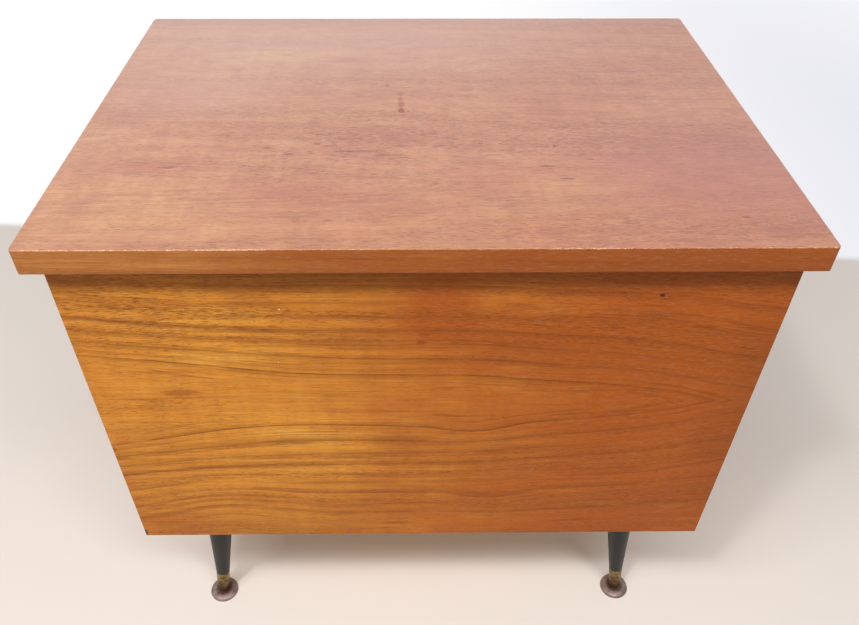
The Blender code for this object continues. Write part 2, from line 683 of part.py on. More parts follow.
def leg_mesh():
    """The tapered leg: a spigot for the ferrule, a long cone, and blind holes for shank and bolt."""
    top = leg_top()
    shoulder = FERRULE_TOP + SEAT_GAP
    spigot_low = FERRULE_BOTTOM_RADIUS - FERRULE_WALL - SEAT_GAP
    spigot_high = LEG_ANKLE_RADIUS - FERRULE_WALL - SEAT_GAP
    rise = (LEG_END - FERRULE_BOTTOM) / (FERRULE_TOP - FERRULE_BOTTOM)
    end_radius = spigot_low + (spigot_high - spigot_low) * rise
    shank_hole = SHANK_RADIUS + SEAT_GAP
    shank_floor = LEG_END + SHANK_LENGTH + SHANK_HOLE_SPARE
    bolt_hole = BOLT_RADIUS + BOLT_PLAY
    bolt_floor = top - BOLT_IN_LEG - SEAT_GAP
    edge = arc((LEG_TOP_RADIUS - LEG_TOP_ARRIS, top - LEG_TOP_ARRIS), LEG_TOP_ARRIS, math.pi / 2, 0, 2)
    profile = [(0, bolt_floor), (bolt_hole, bolt_floor), (bolt_hole, top), *edge]
    profile += [(LEG_ANKLE_RADIUS, shoulder), (spigot_high, shoulder), (end_radius, LEG_END)]
    profile += [(shank_hole, LEG_END), (shank_hole, shank_floor), (0, shank_floor)]
    return turned([profile], LEG_SIDES, name="leg")


def ferrule_mesh():
    """A tapered tube that carries the leg's taper on down to the glide."""
    low = FERRULE_BOTTOM_RADIUS
    high = LEG_ANKLE_RADIUS
    profile = [(low - FERRULE_WALL, FERRULE_BOTTOM), (low, FERRULE_BOTTOM)]
    profile += [(high, FERRULE_TOP), (high - FERRULE_WALL, FERRULE_TOP)]
    return turned([profile], LEG_SIDES, name="ferrule")


def shank_mesh():
    """The glide's nail: a ball, a neck, a flange against the leg's end and a pointed shank."""
    flange_top = LEG_END - SEAT_GAP
    flange_low = flange_top - SHANK_FLANGE_THICKNESS
    neck_angle = math.acos(NECK_RADIUS / BALL_RADIUS)
    profile = arc((0, 0), BALL_RADIUS, -math.pi / 2, neck_angle, 7)
    profile[0] = (0, -BALL_RADIUS)
    profile += [(NECK_RADIUS, flange_low), (SHANK_FLANGE_RADIUS, flange_low)]
    profile += [(SHANK_FLANGE_RADIUS, flange_top), (SHANK_RADIUS, flange_top)]
    tip = LEG_END + SHANK_LENGTH
    profile += [(SHANK_RADIUS, tip - SHANK_TIP), (0, tip)]
    return turned([profile], SHANK_SIDES, name="glide_shank")


def pad_mesh():
    """The glide's pad: a domed disc with a ball cup that closes past the ball's middle."""
    inner = BALL_RADIUS + BALL_PLAY
    outer = inner + CUP_WALL
    floor = -BALL_HEIGHT
    dome_start = (PAD_RADIUS, floor + PAD_RIM)
    shoulder = (PAD_SHOULDER_RADIUS, -PAD_SHOULDER_BELOW_BALL)
    run = dome_start[0] - shoulder[0]
    rise = shoulder[1] - dome_start[1]
    turns = [math.pi / 2 * i / 4 for i in range(1, 4)]
    dome = [(dome_start[0] - run * (1 - math.cos(a)), dome_start[1] + rise * math.sin(a)) for a in turns]
    waist_angle = -math.asin(PAD_SHOULDER_BELOW_BALL / outer)
    outer_lip = math.asin(CUP_RIM_HEIGHT / outer)
    inner_lip = math.asin(CUP_RIM_HEIGHT / inner)
    profile = [(0, floor), (PAD_RADIUS - PAD_EDGE, floor), (PAD_RADIUS, floor + PAD_EDGE), dome_start]
    profile += [*dome, shoulder, *arc((0, 0), outer, waist_angle, outer_lip, 2)]
    profile += arc((0, 0), inner, inner_lip, -math.pi / 2, 6)[:-1]
    profile.append((0, -inner))
    return turned([profile], PAD_SIDES, name="glide_pad")


def bolt_mesh():
    """The hanger bolt, from inside the leg up through the plate's collar."""
    low = leg_top() - BOLT_IN_LEG
    high = boss_face_distance() + PLATE_THICKNESS + COLLAR_HEIGHT
    tip = BOLT_RADIUS - BOLT_TIP_CHAMFER
    profile = [(0, low), (tip, low), (BOLT_RADIUS, low + BOLT_TIP_CHAMFER)]
    profile += [(BOLT_RADIUS, high - BOLT_TIP_CHAMFER), (tip, high), (0, high)]
    return turned([profile], SHANK_SIDES, name="hanger_bolt")


def level_ring(radius, height, centre_x=0):
    """Points of a level circle, in the plate's frame."""
    angles = [FULL_TURN * i / PLATE_SIDES for i in range(PLATE_SIDES)]
    return [(centre_x + radius * math.cos(a), radius * math.sin(a), height) for a in angles]


def tilted_ring(radius, distance):
    """Points of a circle square to the leg, a distance down the leg's line from the plate's face."""
    lean, upright = math.sin(LEG_SPLAY), math.cos(LEG_SPLAY)
    ring = []
    for x, y, _ in level_ring(radius, 0):
        ring.append((x * upright + distance * lean, y, x * lean - distance * upright))
    return ring


def square_ring(height):
    """Points of the plate's rounded square edge, one on each ray that the circles' points lie on."""
    half = PLATE_WIDTH / 2
    straight = half - PLATE_CORNER
    ring = []
    for x, y, _ in level_ring(half, 0):
        ray = Vector((x, y)).normalized()
        reach = half / max(abs(ray.x), abs(ray.y))
        spot = ray * reach
        if min(abs(spot.x), abs(spot.y)) > straight:
            corner = Vector((math.copysign(straight, x), math.copysign(straight, y)))
            along = ray.dot(corner)
            reach = along + math.sqrt(along**2 - corner.length_squared + PLATE_CORNER**2)
            spot = ray * reach
        ring.append((spot.x, spot.y, height))
    return ring


def plate_mesh():
    """The angled plate, from its square edge over the boss to the collar and back inside."""
    sheet = PLATE_THICKNESS
    bore = BOLT_RADIUS + BOLT_PLAY
    shift = math.tan(LEG_SPLAY) * sheet
    inner_face = BOSS_DROP - sheet
    loops = [
        square_ring(0),
        square_ring(-sheet),
        level_ring(BOSS_BASE_RADIUS, -sheet, shift),
        tilted_ring(BOSS_FACE_RADIUS, BOSS_DROP),
        tilted_ring(bore, BOSS_DROP),
        tilted_ring(bore, inner_face - COLLAR_HEIGHT),
        tilted_ring(COLLAR_RADIUS, inner_face - COLLAR_HEIGHT),
        tilted_ring(COLLAR_RADIUS, inner_face),
        tilted_ring(BOSS_FACE_RADIUS - sheet, inner_face),
        level_ring(BOSS_BASE_RADIUS - sheet, 0),
    ]
    return bridged(loops, "leg_plate")


def make_legs():
    """Four leg assemblies; each stands on an empty at its ball, turned so that X points outwards."""
    upright_parts = {"glide_pad": (pad_mesh(), "bronzed_steel")}
    leaning_parts = {
        "leg": (leg_mesh(), "ebonised_beech"),
        "ferrule": (ferrule_mesh(), "brass"),
        "glide_shank": (shank_mesh(), "zinc_steel"),
        "hanger_bolt": (bolt_mesh(), "zinc_steel"),
    }
    plate = plate_mesh()
    spot = PLATE_WIDTH / 2 - PLATE_HOLE_INSET
    spots = [(x * spot, y * spot) for x in (-1, 1) for y in (-1, 1)]
    holes = countersunk_cutter(spots, PLATE_THICKNESS, opens_up=False)
    layout = [("front_left", -1, -1), ("front_right", 1, -1), ("back_right", 1, 1), ("back_left", -1, 1)]
    for name, side_x, side_y in layout:
        place = (side_x * FOOT_X, CARCASE_MIDDLE_Y + side_y * FOOT_Y, BALL_HEIGHT)
        heading = (0, 0, math.atan2(side_y, side_x))
        corner = add_object(f"{name}_foot_frame", None, None, place=place, turn=heading)
        axis = add_object(f"{name}_leg_frame", None, None, corner, turn=(0, -LEG_SPLAY, 0))
        for part, (mesh, material) in upright_parts.items():
            add_object(f"{name}_{part}", mesh, material, corner)
        for part, (mesh, material) in leaning_parts.items():
            add_object(f"{name}_{part}", mesh, material, axis)
        top = (-math.tan(LEG_SPLAY) * plate_height(), 0, plate_height())
        pressed = add_object(f"{name}_leg_plate", plate, "zinc_steel", corner, top)
        under = (top[0], 0, top[2] - PLATE_THICKNESS)
        combine(pressed, add_helper(f"{name}_plate_holes", holes, corner, under), "DIFFERENCE")


def main():
    clear_scene()
    for name in FINISHES:
        make_material(name)
    walls = make_walls()
    make_base()
    make_corner_blocks()
    lippings = make_lid()
    make_hinge(walls["back_panel"], lippings["lid_back_lipping"])
    make_stay_arm()
    make_stay_bracket()
    make_stay_stud()
    make_legs()


main()
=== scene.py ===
"""Looks of the teak storage box on legs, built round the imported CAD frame.

The walls, the lid and its lippings get finer meshes with eased and worn arrises, under teak veneers whose
grain, pores and pointed figure follow the object. Legs, ferrules, glides, hinge and stay are turned, rolled
and pressed again with more facets. Places are in metres, and patterns are worked out in millimetres.
"""

import math

import bmesh
import bpy
from mathutils import Matrix, Vector, noise


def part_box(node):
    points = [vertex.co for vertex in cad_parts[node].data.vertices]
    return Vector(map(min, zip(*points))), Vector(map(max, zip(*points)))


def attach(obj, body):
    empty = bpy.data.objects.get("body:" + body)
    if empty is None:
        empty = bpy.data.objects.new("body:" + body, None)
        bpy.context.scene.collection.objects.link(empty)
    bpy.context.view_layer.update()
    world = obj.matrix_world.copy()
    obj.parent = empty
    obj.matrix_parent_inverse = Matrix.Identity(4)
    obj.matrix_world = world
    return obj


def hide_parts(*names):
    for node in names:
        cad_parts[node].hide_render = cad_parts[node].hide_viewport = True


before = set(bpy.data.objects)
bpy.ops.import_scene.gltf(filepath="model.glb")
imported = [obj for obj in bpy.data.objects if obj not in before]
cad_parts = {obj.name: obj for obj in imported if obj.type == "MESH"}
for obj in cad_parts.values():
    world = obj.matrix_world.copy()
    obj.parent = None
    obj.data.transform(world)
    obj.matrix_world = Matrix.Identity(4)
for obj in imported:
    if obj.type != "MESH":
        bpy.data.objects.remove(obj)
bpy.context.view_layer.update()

# The camera's lens, place and aim, fitted to the corners of the lid, the front panel and the glides
IMAGE_WIDTH = 859
FOCAL_PIXELS = 781.8
CENTRE_SHIFT_PIXELS = (-15.0, 3.7)
SENSOR_WIDTH = 36.0
CAMERA_PLACE = (-0.0150, -0.6880, 0.9177)
CAMERA_PITCH = math.radians(41.27)
CAMERA_YAW = -0.0135
CAMERA_ROLL = 0.0041

# Light: a wide strip high in front, a small key lamp to its left, and an even pale room
LAMP_AIM = (0, -0.1, 0.4)
LAMPS = {
    "strip_lamp": {"place": (-0.18, -1.17, 2.4), "size": (3.0, 0.30), "watts": 45.5},
    "key_lamp": {"place": (-0.8, -1.15, 2.4), "size": (0.2, 0.2), "watts": 12},
}
ROOM_STRENGTH = 0.31

# Floor: a pale carpet that ends at the foot of a white sheet, and turns white between two distances
FLOOR_HALF_SIZE = 12.0
FLOOR_FADE = (1.5, 3.5)
# Painted shade on the white sheet: across this span in X it greys towards the right
SHEET_SHADE_SPAN = (0.1, 1.2)
CARPET_EDGE_Y = 0.586
CARPET_EDGE_SLOPE = -0.0755
CARPET_EDGE_BLUR = 0.012

# Lid
LID_LOW, LID_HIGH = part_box("lid_board")
LID_HALF_X = LID_HIGH.x
LID_FRONT, LID_BACK, LID_TOP = LID_LOW.y, LID_HIGH.y, LID_HIGH.z
LID_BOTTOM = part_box("lid_left_lipping")[0].z
LID_FACE = 0.0014
LID_CORNER = 0.004
LID_CORNER_FACETS = 8
LID_ARRIS = 0.0007
LIPPING_WIDTH = 0.016
LIPPING_ARRIS = 0.001

# Walls and base
WALL_LOW, WALL_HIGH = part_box("front_panel")[0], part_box("back_panel")[1]
WALL_HALF_X = WALL_HIGH.x
WALL_FRONT, WALL_BACK = WALL_LOW.y, WALL_HIGH.y
WALL_BOTTOM, WALL_TOP = WALL_LOW.z, WALL_HIGH.z
WALL_THICKNESS = 0.016
WALL_LAND = 0.008
WALL_REBATE = 0.0173
WALL_ARRIS = 0.0008
BASE_ARRIS = 0.0004
BLOCK_ARRIS = 0.0006

# Spacing of mesh rows: along a plain board and along the worn front edge, and how far in from an arris
BOARD_STEP = 0.006
WORN_STEP = 0.0012
MITRE_STEP = 0.0006
MITRE_ROWS = 5
LID_STEPS = {"front": 0.0006, "side": 0.003, "back": 0.004}
WALL_ROWS = (0.0014, 0.0022, 0.0034)
LID_ROWS = (0.0011, 0.0016, 0.0022, 0.0036)
LID_ROUND_TURNS = (0, 0.4, 0.8, 1.2, math.pi / 2)
LIPPING_ROWS = (0.0022, 0.0015, 0.001, 0.0005, 0)
FACE_ROW_SHARE = 0.75

# Wear: how far from an arris it reaches, how deep it cuts, and the size of its chips
WEAR_REACH = 0.0027
WEAR_DEPTH = 0.0005
WALL_WEAR_REACH = 0.0017
CHIP_SIZE = 0.003
LID_CHIP_SIZE = 0.0016

# How much wear there is: on the walls and along the lid's foot and sides, with the size of its patches
WALL_WEAR = {"least": 0.50, "spread": 0.75, "patch": 0.020}
FOOT_WEAR = {"most": 0.7, "patch": 0.015}
SIDE_WEAR = 0.45
SIDE_WEAR_SPREAD = 0.3
SIDE_WEAR_PATCH = 0.05
FRONT_WEAR_WRAP = 0.006

# How much wear each stretch of the lid's front arris has, as (x, amount)
FRONT_WEAR = [(-0.305, 0.8), (-0.298, 0.86), (-0.182, 0.84), (-0.174, 0.62), (-0.168, 1.0), (-0.124, 0.95)]
FRONT_WEAR += [(-0.112, 0.74), (0.088, 0.72), (0.100, 0.90), (0.146, 0.88), (0.156, 0.72), (0.240, 0.72)]
FRONT_WEAR += [(0.252, 0.80), (0.305, 0.84)]

# Hinge
PIN_LOW, PIN_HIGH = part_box("hinge_pin")
AXIS_Y, AXIS_Z = (PIN_LOW.y + PIN_HIGH.y) / 2, (PIN_LOW.z + PIN_HIGH.z) / 2
HINGE_HALF = PIN_HIGH.x
BARREL_RADIUS = 0.0025
BARREL_BORE = 0.0014
LEAF_THICKNESS = 0.001
LEAF_WIDTH = 0.0145
LEAF_SPACING = 0.0004
LEAF_NOTCH = 0.0029
KNUCKLE_PITCH = 0.0254
KNUCKLE_GAP = 0.0003
KNUCKLE_EDGE = 0.00015
KNUCKLE_SIDES = 40
HINGE_PIN_SIDES = 32

# Stay
INNER_X = WALL_HALF_X - WALL_THICKNESS
STAY_RADIUS = 0.120
STAY_PIVOT_DROP = 0.014
STAY_CLOSED_ANGLE = math.radians(12)
LID_OPENING = math.radians(100)
STAY_EYE = 0.0028
STAY_STOP_PLAY = 0.0006
ARM_WIDTH = 0.013
ARM_THICKNESS = 0.002
ARM_OFFSET = 0.005
STAY_EDGE = 0.0003
BRACKET_EDGE = 0.0002
STAY_PIN_SIDES = 48
STUD_PLATE_WIDTH = 0.013
STUD_PLATE_LENGTH = 0.036
STUD_PLATE_THICKNESS = 0.0015
PIN_HEAD_RADIUS = 0.0048
PIN_HEAD_HEIGHT = 0.0011
PIN_HEAD_EDGE_SHARE = 0.6
PIN_SHANK_RADIUS = 0.0025
STUD_SHOULDER_RADIUS = 0.004
BRACKET_THICKNESS = 0.0018
BRACKET_LENGTH = 0.034
BRACKET_FLANGE = 0.014

# Legs and ferrules, measured along the leg from the middle of the glide's ball
CORNERS = {"front_left": (-1, -1), "front_right": (1, -1), "back_right": (1, 1), "back_left": (-1, 1)}
LEG_SPLAY = math.radians(8)
LEG_TOP_RADIUS = 0.0177
LEG_ANKLE_RADIUS = 0.008
LEG_TOP_ARRIS = 0.0015
LEG_ROW_SHARES = (0.75, 0.5, 0.25, 0.03)
LEG_END = 0.0062
FERRULE_BOTTOM = 0.001
FERRULE_TOP = 0.034
FERRULE_FOOT_RADIUS = 0.0072
FERRULE_WALL = 0.0008
FERRULE_LIP = 0.0003

# Glides: the nail with its ball, the pad with its cup, and how far their stains reach from the ball
BALL_HEIGHT = 0.0065
BALL_RADIUS = 0.004
SHANK_SIDES = 40
NECK_RADIUS = 0.0021
NECK_TOP = 0.0049
FLANGE_RADIUS = 0.0042
FLANGE_TOP = 0.0059
NAIL_RADIUS = 0.0018
NAIL_SHOULDER = 0.0242
NAIL_POINT = 0.0282
PAD_RADIUS = 0.0169
PAD_RIM = 0.0016
PAD_RIM_ROUND = 0.0008
PAD_RIM_STEP = 0.0003
PAD_RIM_TURN_SHARE = 0.35
PAD_DOME_FACETS = 12
PAD_SHOULDER_RADIUS = 0.0076
PAD_SHOULDER_DROP = 0.0016
CUP_RADIUS = 0.0055
CUP_BORE = 0.0042
CUP_RIM = 0.0016
STAIN_REACH = {"ferrule": (0.006, 0.017), "glide_pad": (0.0075, 0.013)}

# Leg plates: the pressed sheet, its slanted boss, the bends between them, and the threaded collar
PLATE_HALF = 0.026
PLATE_CORNER = 0.006
PLATE_THICKNESS = 0.002
PLATE_EDGE = 0.0004
PLATE_SIDES = 96
PLATE_HOLE_INSET = 0.0075
BOSS_DROP = 0.0085
BOSS_BASE_RADIUS = 0.021
BOSS_FACE_RADIUS = 0.016
BEND_FOOT = 0.001
BEND_EDGE = 0.0006
BEND_DROP = 0.0008
BOLT_BORE = 0.0043
COLLAR_RADIUS = 0.007
COLLAR_HEIGHT = 0.003

# Screws
SCREW_HEAD_RADIUS = 0.0029
SCREW_SHANK_RADIUS = 0.0015
SCREW_HEAD_DEPTH = 0.0011
SCREW_SLOT_WIDTH = 0.0006
SCREW_SLOT_DEPTH = 0.0004
SCREW_SINK = 0.00015
SCREW_SIDES = 28
SCREW_SEED = 7

# The slot's cutter: its length in head radii, past the rim, and its height in slot depths, half of it above
CUTTER_RADII = 3.0
CUTTER_DEPTHS = 2.0

# Noises: lengths in mm along, across and into the grain, seed, detail, roughness; None is given at the call.
# Pores, fibres, flecks and specks are drawn a little wider than real ones, so that they show in the render.
NOISES = {
    "figure sway": (None, None, 2.0, 0.5),
    "stroke breaks": ((35, 12, 12), None, 2.0, 0.6),
    "teak clouds": ((110, 40, 40), None, 3.0, 0.55),
    "teak glow": (None, 4.6, 3.0, 0.6),
    "teak bands": (None, 3.1, 2.0, 0.5),
    "teak lines": (None, 8.7, 1.0, 0.5),
    "teak fibre": ((45, 0.9, 4), 5.3, 3.0, 0.6),
    "teak streaks": ((140, 3.2, 6), 7.7, 3.0, 0.6),
    "teak shimmer": ((13, 80, 20), 2.9, 2.0, 0.5),
    "teak pores": ((6, 0.6, 2), 1.9, 1.0, 0.5),
    "teak mottle": ((24, 13, 13), 5.9, 4.0, 0.65),
    "teak glints": ((7, 1.1, 3), 3.3, 2.0, 0.6),
    "faint rings": ((70, 15, 15), 1.4, 2.0, 0.6),
    "ring pace": ((60, 2500, 1), 6.7, 2.0, 0.5),
    "broken lines": ((40, 6, 6), 6.3, 2.0, 0.6),
    "dent edges": ((3, 3, 3), 4.0, 4.0, 0.7),
    "bare grit": ((2.6, 1.1, 1.1), 6.1, 3.0, 0.65),
    "bare crumbs": ((1.6, 0.9, 0.9), 2.2, 2.0, 0.6),
    "lipping flecks": ((2.5, 1.6, 1.6), 9.4, 1.0, 0.5),
    "plain bands": (None, 4.2, 4.0, 0.6),
    "plain fibre": ((30, 0.8, 3), 7.7, 3.0, 0.6),
    "plain flecks": ((9, 0.7, 2), 2.1, 1.0, 0.5),
    "lacquer streaks": ((60, 1.2, 1.2), 3.0, 3.0, 0.6),
    "lacquer flecks": ((3.5, 0.7, 0.7), 5.0, 1.0, 0.5),
    "metal clouds": (None, 6.0, 4.0, 0.6),
    "metal specks": ((0.9, 0.9, 0.9), 2.0, 3.0, 0.6),
}

# Lengths along the grain in mm of the bands and lines whose widths come from a look
BAND_LENGTH = 900
LINE_LENGTH = 500
PLAIN_BAND_LENGTH = 400

# Tints over the teak in order: noise, levels where the tint starts and is full, weight and colour
TEAK_TINTS = [
    ("teak streaks", (0.42, 0.68), "streak weight", "brown"),
    # Painted sheen: bands across the grain, darker by turns, standing in for the veneer's shimmer
    ("teak shimmer", (0.40, 0.65), "shimmer weight", "brown"),
    ("teak mottle", (0.42, 0.66), "mottle weight", "mottle"),
    ("teak fibre", (0.35, 0.75), "fibre weight", "brown"),
    # Painted highlights: pale glints laid into the colour where the varnish would catch the light
    ("teak glints", (0.48, 0.72), "glint weight", "glint"),
]

# Levels at which a tint starts and is full
FULL_LEVELS = (0, 1)
GLOW_LEVELS = (0.50, 1.0)
BAND_LEVELS = (0.40, 0.70)
LINE_LEVELS = (0.30, 0.65)
MARK_LEVELS = (0.15, 0.35)
BARE_LEVELS = (1.06, 1.16)
CRUMB_LEVELS = (0.50, 0.66)
LIPPING_FLECK_LEVELS = (0.74, 0.80)
PLAIN_BAND_LEVELS = (0.35, 0.65)
PLAIN_FIBRE_LEVELS = (0.40, 0.75)
FLECK_LEVELS = (0.66, 0.74)
LACQUER_LEVELS = (0.35, 0.70)
TARNISH_LEVELS = (0.35, 0.65)
SPECK_LEVELS = (0.56, 0.70)
STAIN_LEVELS = (0.55, 1.2)
DULL_LEVELS = (0.3, 0.7)

# Smooth steps over the veneers: from and to in mm, and the values there
SWELL_FADE = (40, 220, -1, -0.3)
RINGS_START = (0, 14, 0, 1)
RINGS_PLAIN = (148, 172, 1, 0.3)
RINGS_RIGHT = (-120, 140, 1, 0.85)
STROKE_RIGHT = (60, 260, 1, 0.7)

# Smooth steps from one level of a noise to another, and the values there
RINGS_FAINT = (0.35, 0.62, 0.25, 1)
STROKE_FAINT = (0.35, 0.55, 0.45, 1)
LINE_CORE = (0.01, 0.035, 1, 0)
NOISE_MIDDLE = 0.5

# Growth rings and strokes: shares of a ring where it darkens and ends, and a stroke's core and soft inside
RING_DARK_SHARES = (0.25, 0.97)
RING_END_SHARES = (0.0, 0.06, 1, 0)
RING_PACE = 3.0
CORE_WIDTH_SHARE = 0.3
SOFT_WIDTHS = 6
SOFT_WEIGHT_SHARE = 0.5

# Weights and depths in the finishes, and how far down the walls the painted shade and grime under the lid's
# overhang reach in mm
UNDER_LID_SHADE_AND_GRIME_REACH = 40
PORE_CROWD = 0.35
PORE_SOFTNESS = 0.10
WEAR_WEIGHT = 0.8
# Strength of the painted shade and grime under the lid's overhang
UNDER_LID_SHADE_AND_GRIME_STRENGTH = 0.52
# Weight of the darker patches on the walls, one of which is painted shade under the lid's overhang
GRIME_AND_SHADE_PATCH_WEIGHT = 0.28
FLECK_WEIGHT = 0.5
PLAIN_FIBRE_WEIGHT = 0.35
LIPPING_FLECK_WEIGHT = 0.6
STAIN_WEIGHT = 0.85
STAIN_CLOUD = 0.8
FIBRE_DEPTH = 0.0002
SPECK_DEPTH = 0.0001

# Roughness of the plain wood and of the lacquer, as what a noise adds and the least there is
PLAIN_ROUGH = (0.2, 0.55)
LACQUER_ROUGH = (0.2, 0.34)

# Mesh making: gaps, facets, and the angles and cosines that tell edges and faces apart
SEAT_GAP = 0.0003
MITRE_GAP = SEAT_GAP / 3
MERGE = 1e-6
TURNED_SIDES = 72
SMOOTH_UNDER = math.radians(38)
FLAT_UNDER = math.radians(1)
LEAST_MITRE_COSINE = 0.5
FACING_COSINE = 0.9
TOP_COSINE = 0.6
NOISE_LEVEL = 0.37
FULL_TURN = 2 * math.pi
MM = 1000

# Node settings: a smooth step, and a colour mix's sockets for its share, its two colours and its result
SMOOTH = {"interpolation_type": "SMOOTHSTEP"}
SHARE, UNDER, OVER, MIXED = 0, 6, 7, 2


# Node and mesh helpers


def set_sockets(tree, node, feeds):
    """Links or sets a node's sockets: a list fills them in their order, a table by name or number."""
    for socket, value in feeds.items() if isinstance(feeds, dict) else enumerate(feeds):
        if isinstance(value, bpy.types.NodeSocket):
            tree.links.new(value, node.inputs[socket])
        else:
            node.inputs[socket].default_value = value


def add(tree, kind, feeds, out=0, **settings):
    """Adds a node with its settings, fills its sockets with links or values, and gives one output back."""
    node = tree.nodes.new(kind)
    for name, value in settings.items():
        setattr(node, name, value)
    set_sockets(tree, node, feeds)
    return node.outputs[out]


def colour(hex_value):
    """A linear colour from an sRGB hex value."""
    parts = [int(hex_value[i : i + 2], 16) / 255 for i in (0, 2, 4)]
    return (*[c / 12.92 if c <= 0.04045 else ((c + 0.055) / 1.055) ** 2.4 for c in parts], 1)


def finished(name, form, *materials):
    """An object at the origin from a form: doubles merged, faces outwards, smooth but for sharp edges."""
    bmesh.ops.remove_doubles(form, verts=form.verts, dist=MERGE)
    bmesh.ops.recalc_face_normals(form, faces=form.faces)
    mesh = bpy.data.meshes.new(name)
    form.to_mesh(mesh)
    form.free()
    for material in materials:
        mesh.materials.append(material)
    return shown(name, mesh)


def shown(name, mesh):
    mesh.shade_smooth()
    mesh.set_sharp_from_angle(angle=SMOOTH_UNDER)
    obj = bpy.data.objects.new(name, mesh)
    bpy.context.scene.collection.objects.link(obj)
    return obj


def dress(piece, body, slot, *nodes):
    """Lets a piece ride on a body and has it stand for the CAD nodes it is made after; its slot is not used.
    """
    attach(piece, body)
    if nodes:
        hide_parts(*nodes)


def arc(centre, radius, start, end, steps):
    """Points on an arc from one angle to another, ends included."""
    angles = [start + (end - start) * i / steps for i in range(steps + 1)]
    return [(centre[0] + radius * math.cos(a), centre[1] + radius * math.sin(a)) for a in angles]


def circle(centre, radius, steps=32):
    return arc(centre, radius, 0, FULL_TURN * (1 - 1 / steps), steps - 1)


def between(points, x):
    """The value at x on a line through (x, value) points."""
    for (x0, v0), (x1, v1) in zip(points, points[1:]):
        if x <= x1:
            return v0 + (v1 - v0) * max(x - x0, 0) / (x1 - x0)
    return points[-1][1]


def turned(profile, place=Matrix(), sides=TURNED_SIDES, ring=False):
    """A form turned round Z from (radius, height) points; a ring joins its last point to its first."""
    form = bmesh.new()
    rows = []
    for radius, height in profile:
        if radius == 0:
            rows.append([form.verts.new(place @ Vector((0, 0, height)))] * sides)
        else:
            spots = circle((0, 0), radius, sides)
            rows.append([form.verts.new(place @ Vector((x, y, height))) for x, y in spots])
    if ring:
        rows.append(rows[0])
    for low, high in zip(rows, rows[1:]):
        for i in range(sides):
            corners = list(dict.fromkeys((low[i - 1], low[i], high[i], high[i - 1])))
            if len(corners) > 2:
                form.faces.new(corners)
    return form


def skinned(form, loops, ring=False):
    """Puts faces between loops of vertices, and joins them in a ring or caps them at both ends."""
    pairs = list(zip(loops, loops[1:]))
    if ring:
        pairs.append((loops[-1], loops[0]))
    else:
        form.faces.new(loops[0])
        form.faces.new(loops[-1])
    for low, high in pairs:
        for i in range(len(low)):
            form.faces.new((low[i - 1], low[i], high[i], high[i - 1]))


def lofted(rings, ring=False):
    """A form through loops with the same number of points."""
    form = bmesh.new()
    skinned(form, [[form.verts.new(point) for point in loop] for loop in rings], ring)
    return form


def inset(points, distance):
    """A loop moved to the left of its own direction, which is into the sheet it bounds."""
    moved = []
    for i, point in enumerate(points):
        here = Vector(point)
        before = (here - Vector(points[i - 1])).normalized()
        after = (Vector(points[(i + 1) % len(points)]) - here).normalized()
        normal = Vector((-before.y - after.y, before.x + after.x)).normalized()
        reach = distance / max(normal.dot(Vector((-before.y, before.x))), LEAST_MITRE_COSINE)
        moved.append(tuple(here + normal * reach))
    return moved


def sheet(outline, holes, thickness, ease):
    """A flat sheet with eased edges. Each hole is a pair of clockwise loops, below and above."""
    form = bmesh.new()
    faces = ([], [])
    for low, high in [(outline, outline), *holes]:
        levels = [(inset(low, ease), 0), (low, ease)]
        levels += [(high, thickness - ease), (inset(high, ease), thickness)]
        rings = [[form.verts.new((x, y, z)) for x, y in points] for points, z in levels]
        for lower, upper in zip(rings, rings[1:]):
            for i in range(len(lower)):
                form.faces.new((lower[i - 1], lower[i], upper[i], upper[i - 1]))
        for edges, loop in zip(faces, (rings[0], rings[-1])):
            edges += [form.edges.get((loop[i - 1], loop[i])) for i in range(len(loop))]
    for edges in faces:
        bmesh.ops.triangle_fill(form, edges=edges, use_beauty=True, normal=(0, 0, 1))
    return form


def countersunk(centre, opens_up):
    """The pair of loops of a countersunk hole."""
    narrow = circle(centre, SCREW_SHANK_RADIUS)[::-1]
    wide = circle(centre, SCREW_HEAD_RADIUS)[::-1]
    return (narrow, wide) if opens_up else (wide, narrow)


def eased(node, width):
    """A copy of a CAD node as a form with merged faces and slightly rounded edges."""
    form = bmesh.new()
    form.from_mesh(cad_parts[node].data)
    bmesh.ops.remove_doubles(form, verts=form.verts, dist=MERGE)
    bmesh.ops.dissolve_limit(form, angle_limit=FLAT_UNDER, verts=form.verts, edges=form.edges)
    sharp = [edge for edge in form.edges if edge.calc_face_angle(0) > SMOOTH_UNDER]
    bmesh.ops.bevel(form, geom=sharp, offset=width, segments=2, profile=0.5, affect="EDGES")
    return form


def turn_faces(piece, index, test):
    """Gives another of the piece's materials to the faces whose normals pass a test."""
    for face in piece.data.polygons:
        if test(face.normal):
            face.material_index = index


def without(piece, low, high):
    """Cuts a box out of a piece and keeps the result as its mesh."""
    form = bmesh.new()
    bmesh.ops.create_cube(form, size=1)
    for vert in form.verts:
        vert.co = [a + (b - a) * (c + 0.5) for a, b, c in zip(low, high, vert.co)]
    cutter = finished("gain", form)
    modifier = piece.modifiers.new("gain", "BOOLEAN")
    modifier.operation = "DIFFERENCE"
    modifier.solver = "EXACT"
    modifier.object = cutter
    cut = bpy.data.meshes.new_from_object(piece.evaluated_get(bpy.context.evaluated_depsgraph_get()))
    piece.modifiers.remove(modifier)
    piece.data = cut
    bpy.data.objects.remove(cutter)


# Wooden pieces


def rough(x, y, size):
    """Smooth noise between 0 and 1 with features of a size in metres."""
    return 0.5 + 0.5 * noise.noise(Vector((x / size, y / size, NOISE_LEVEL)))


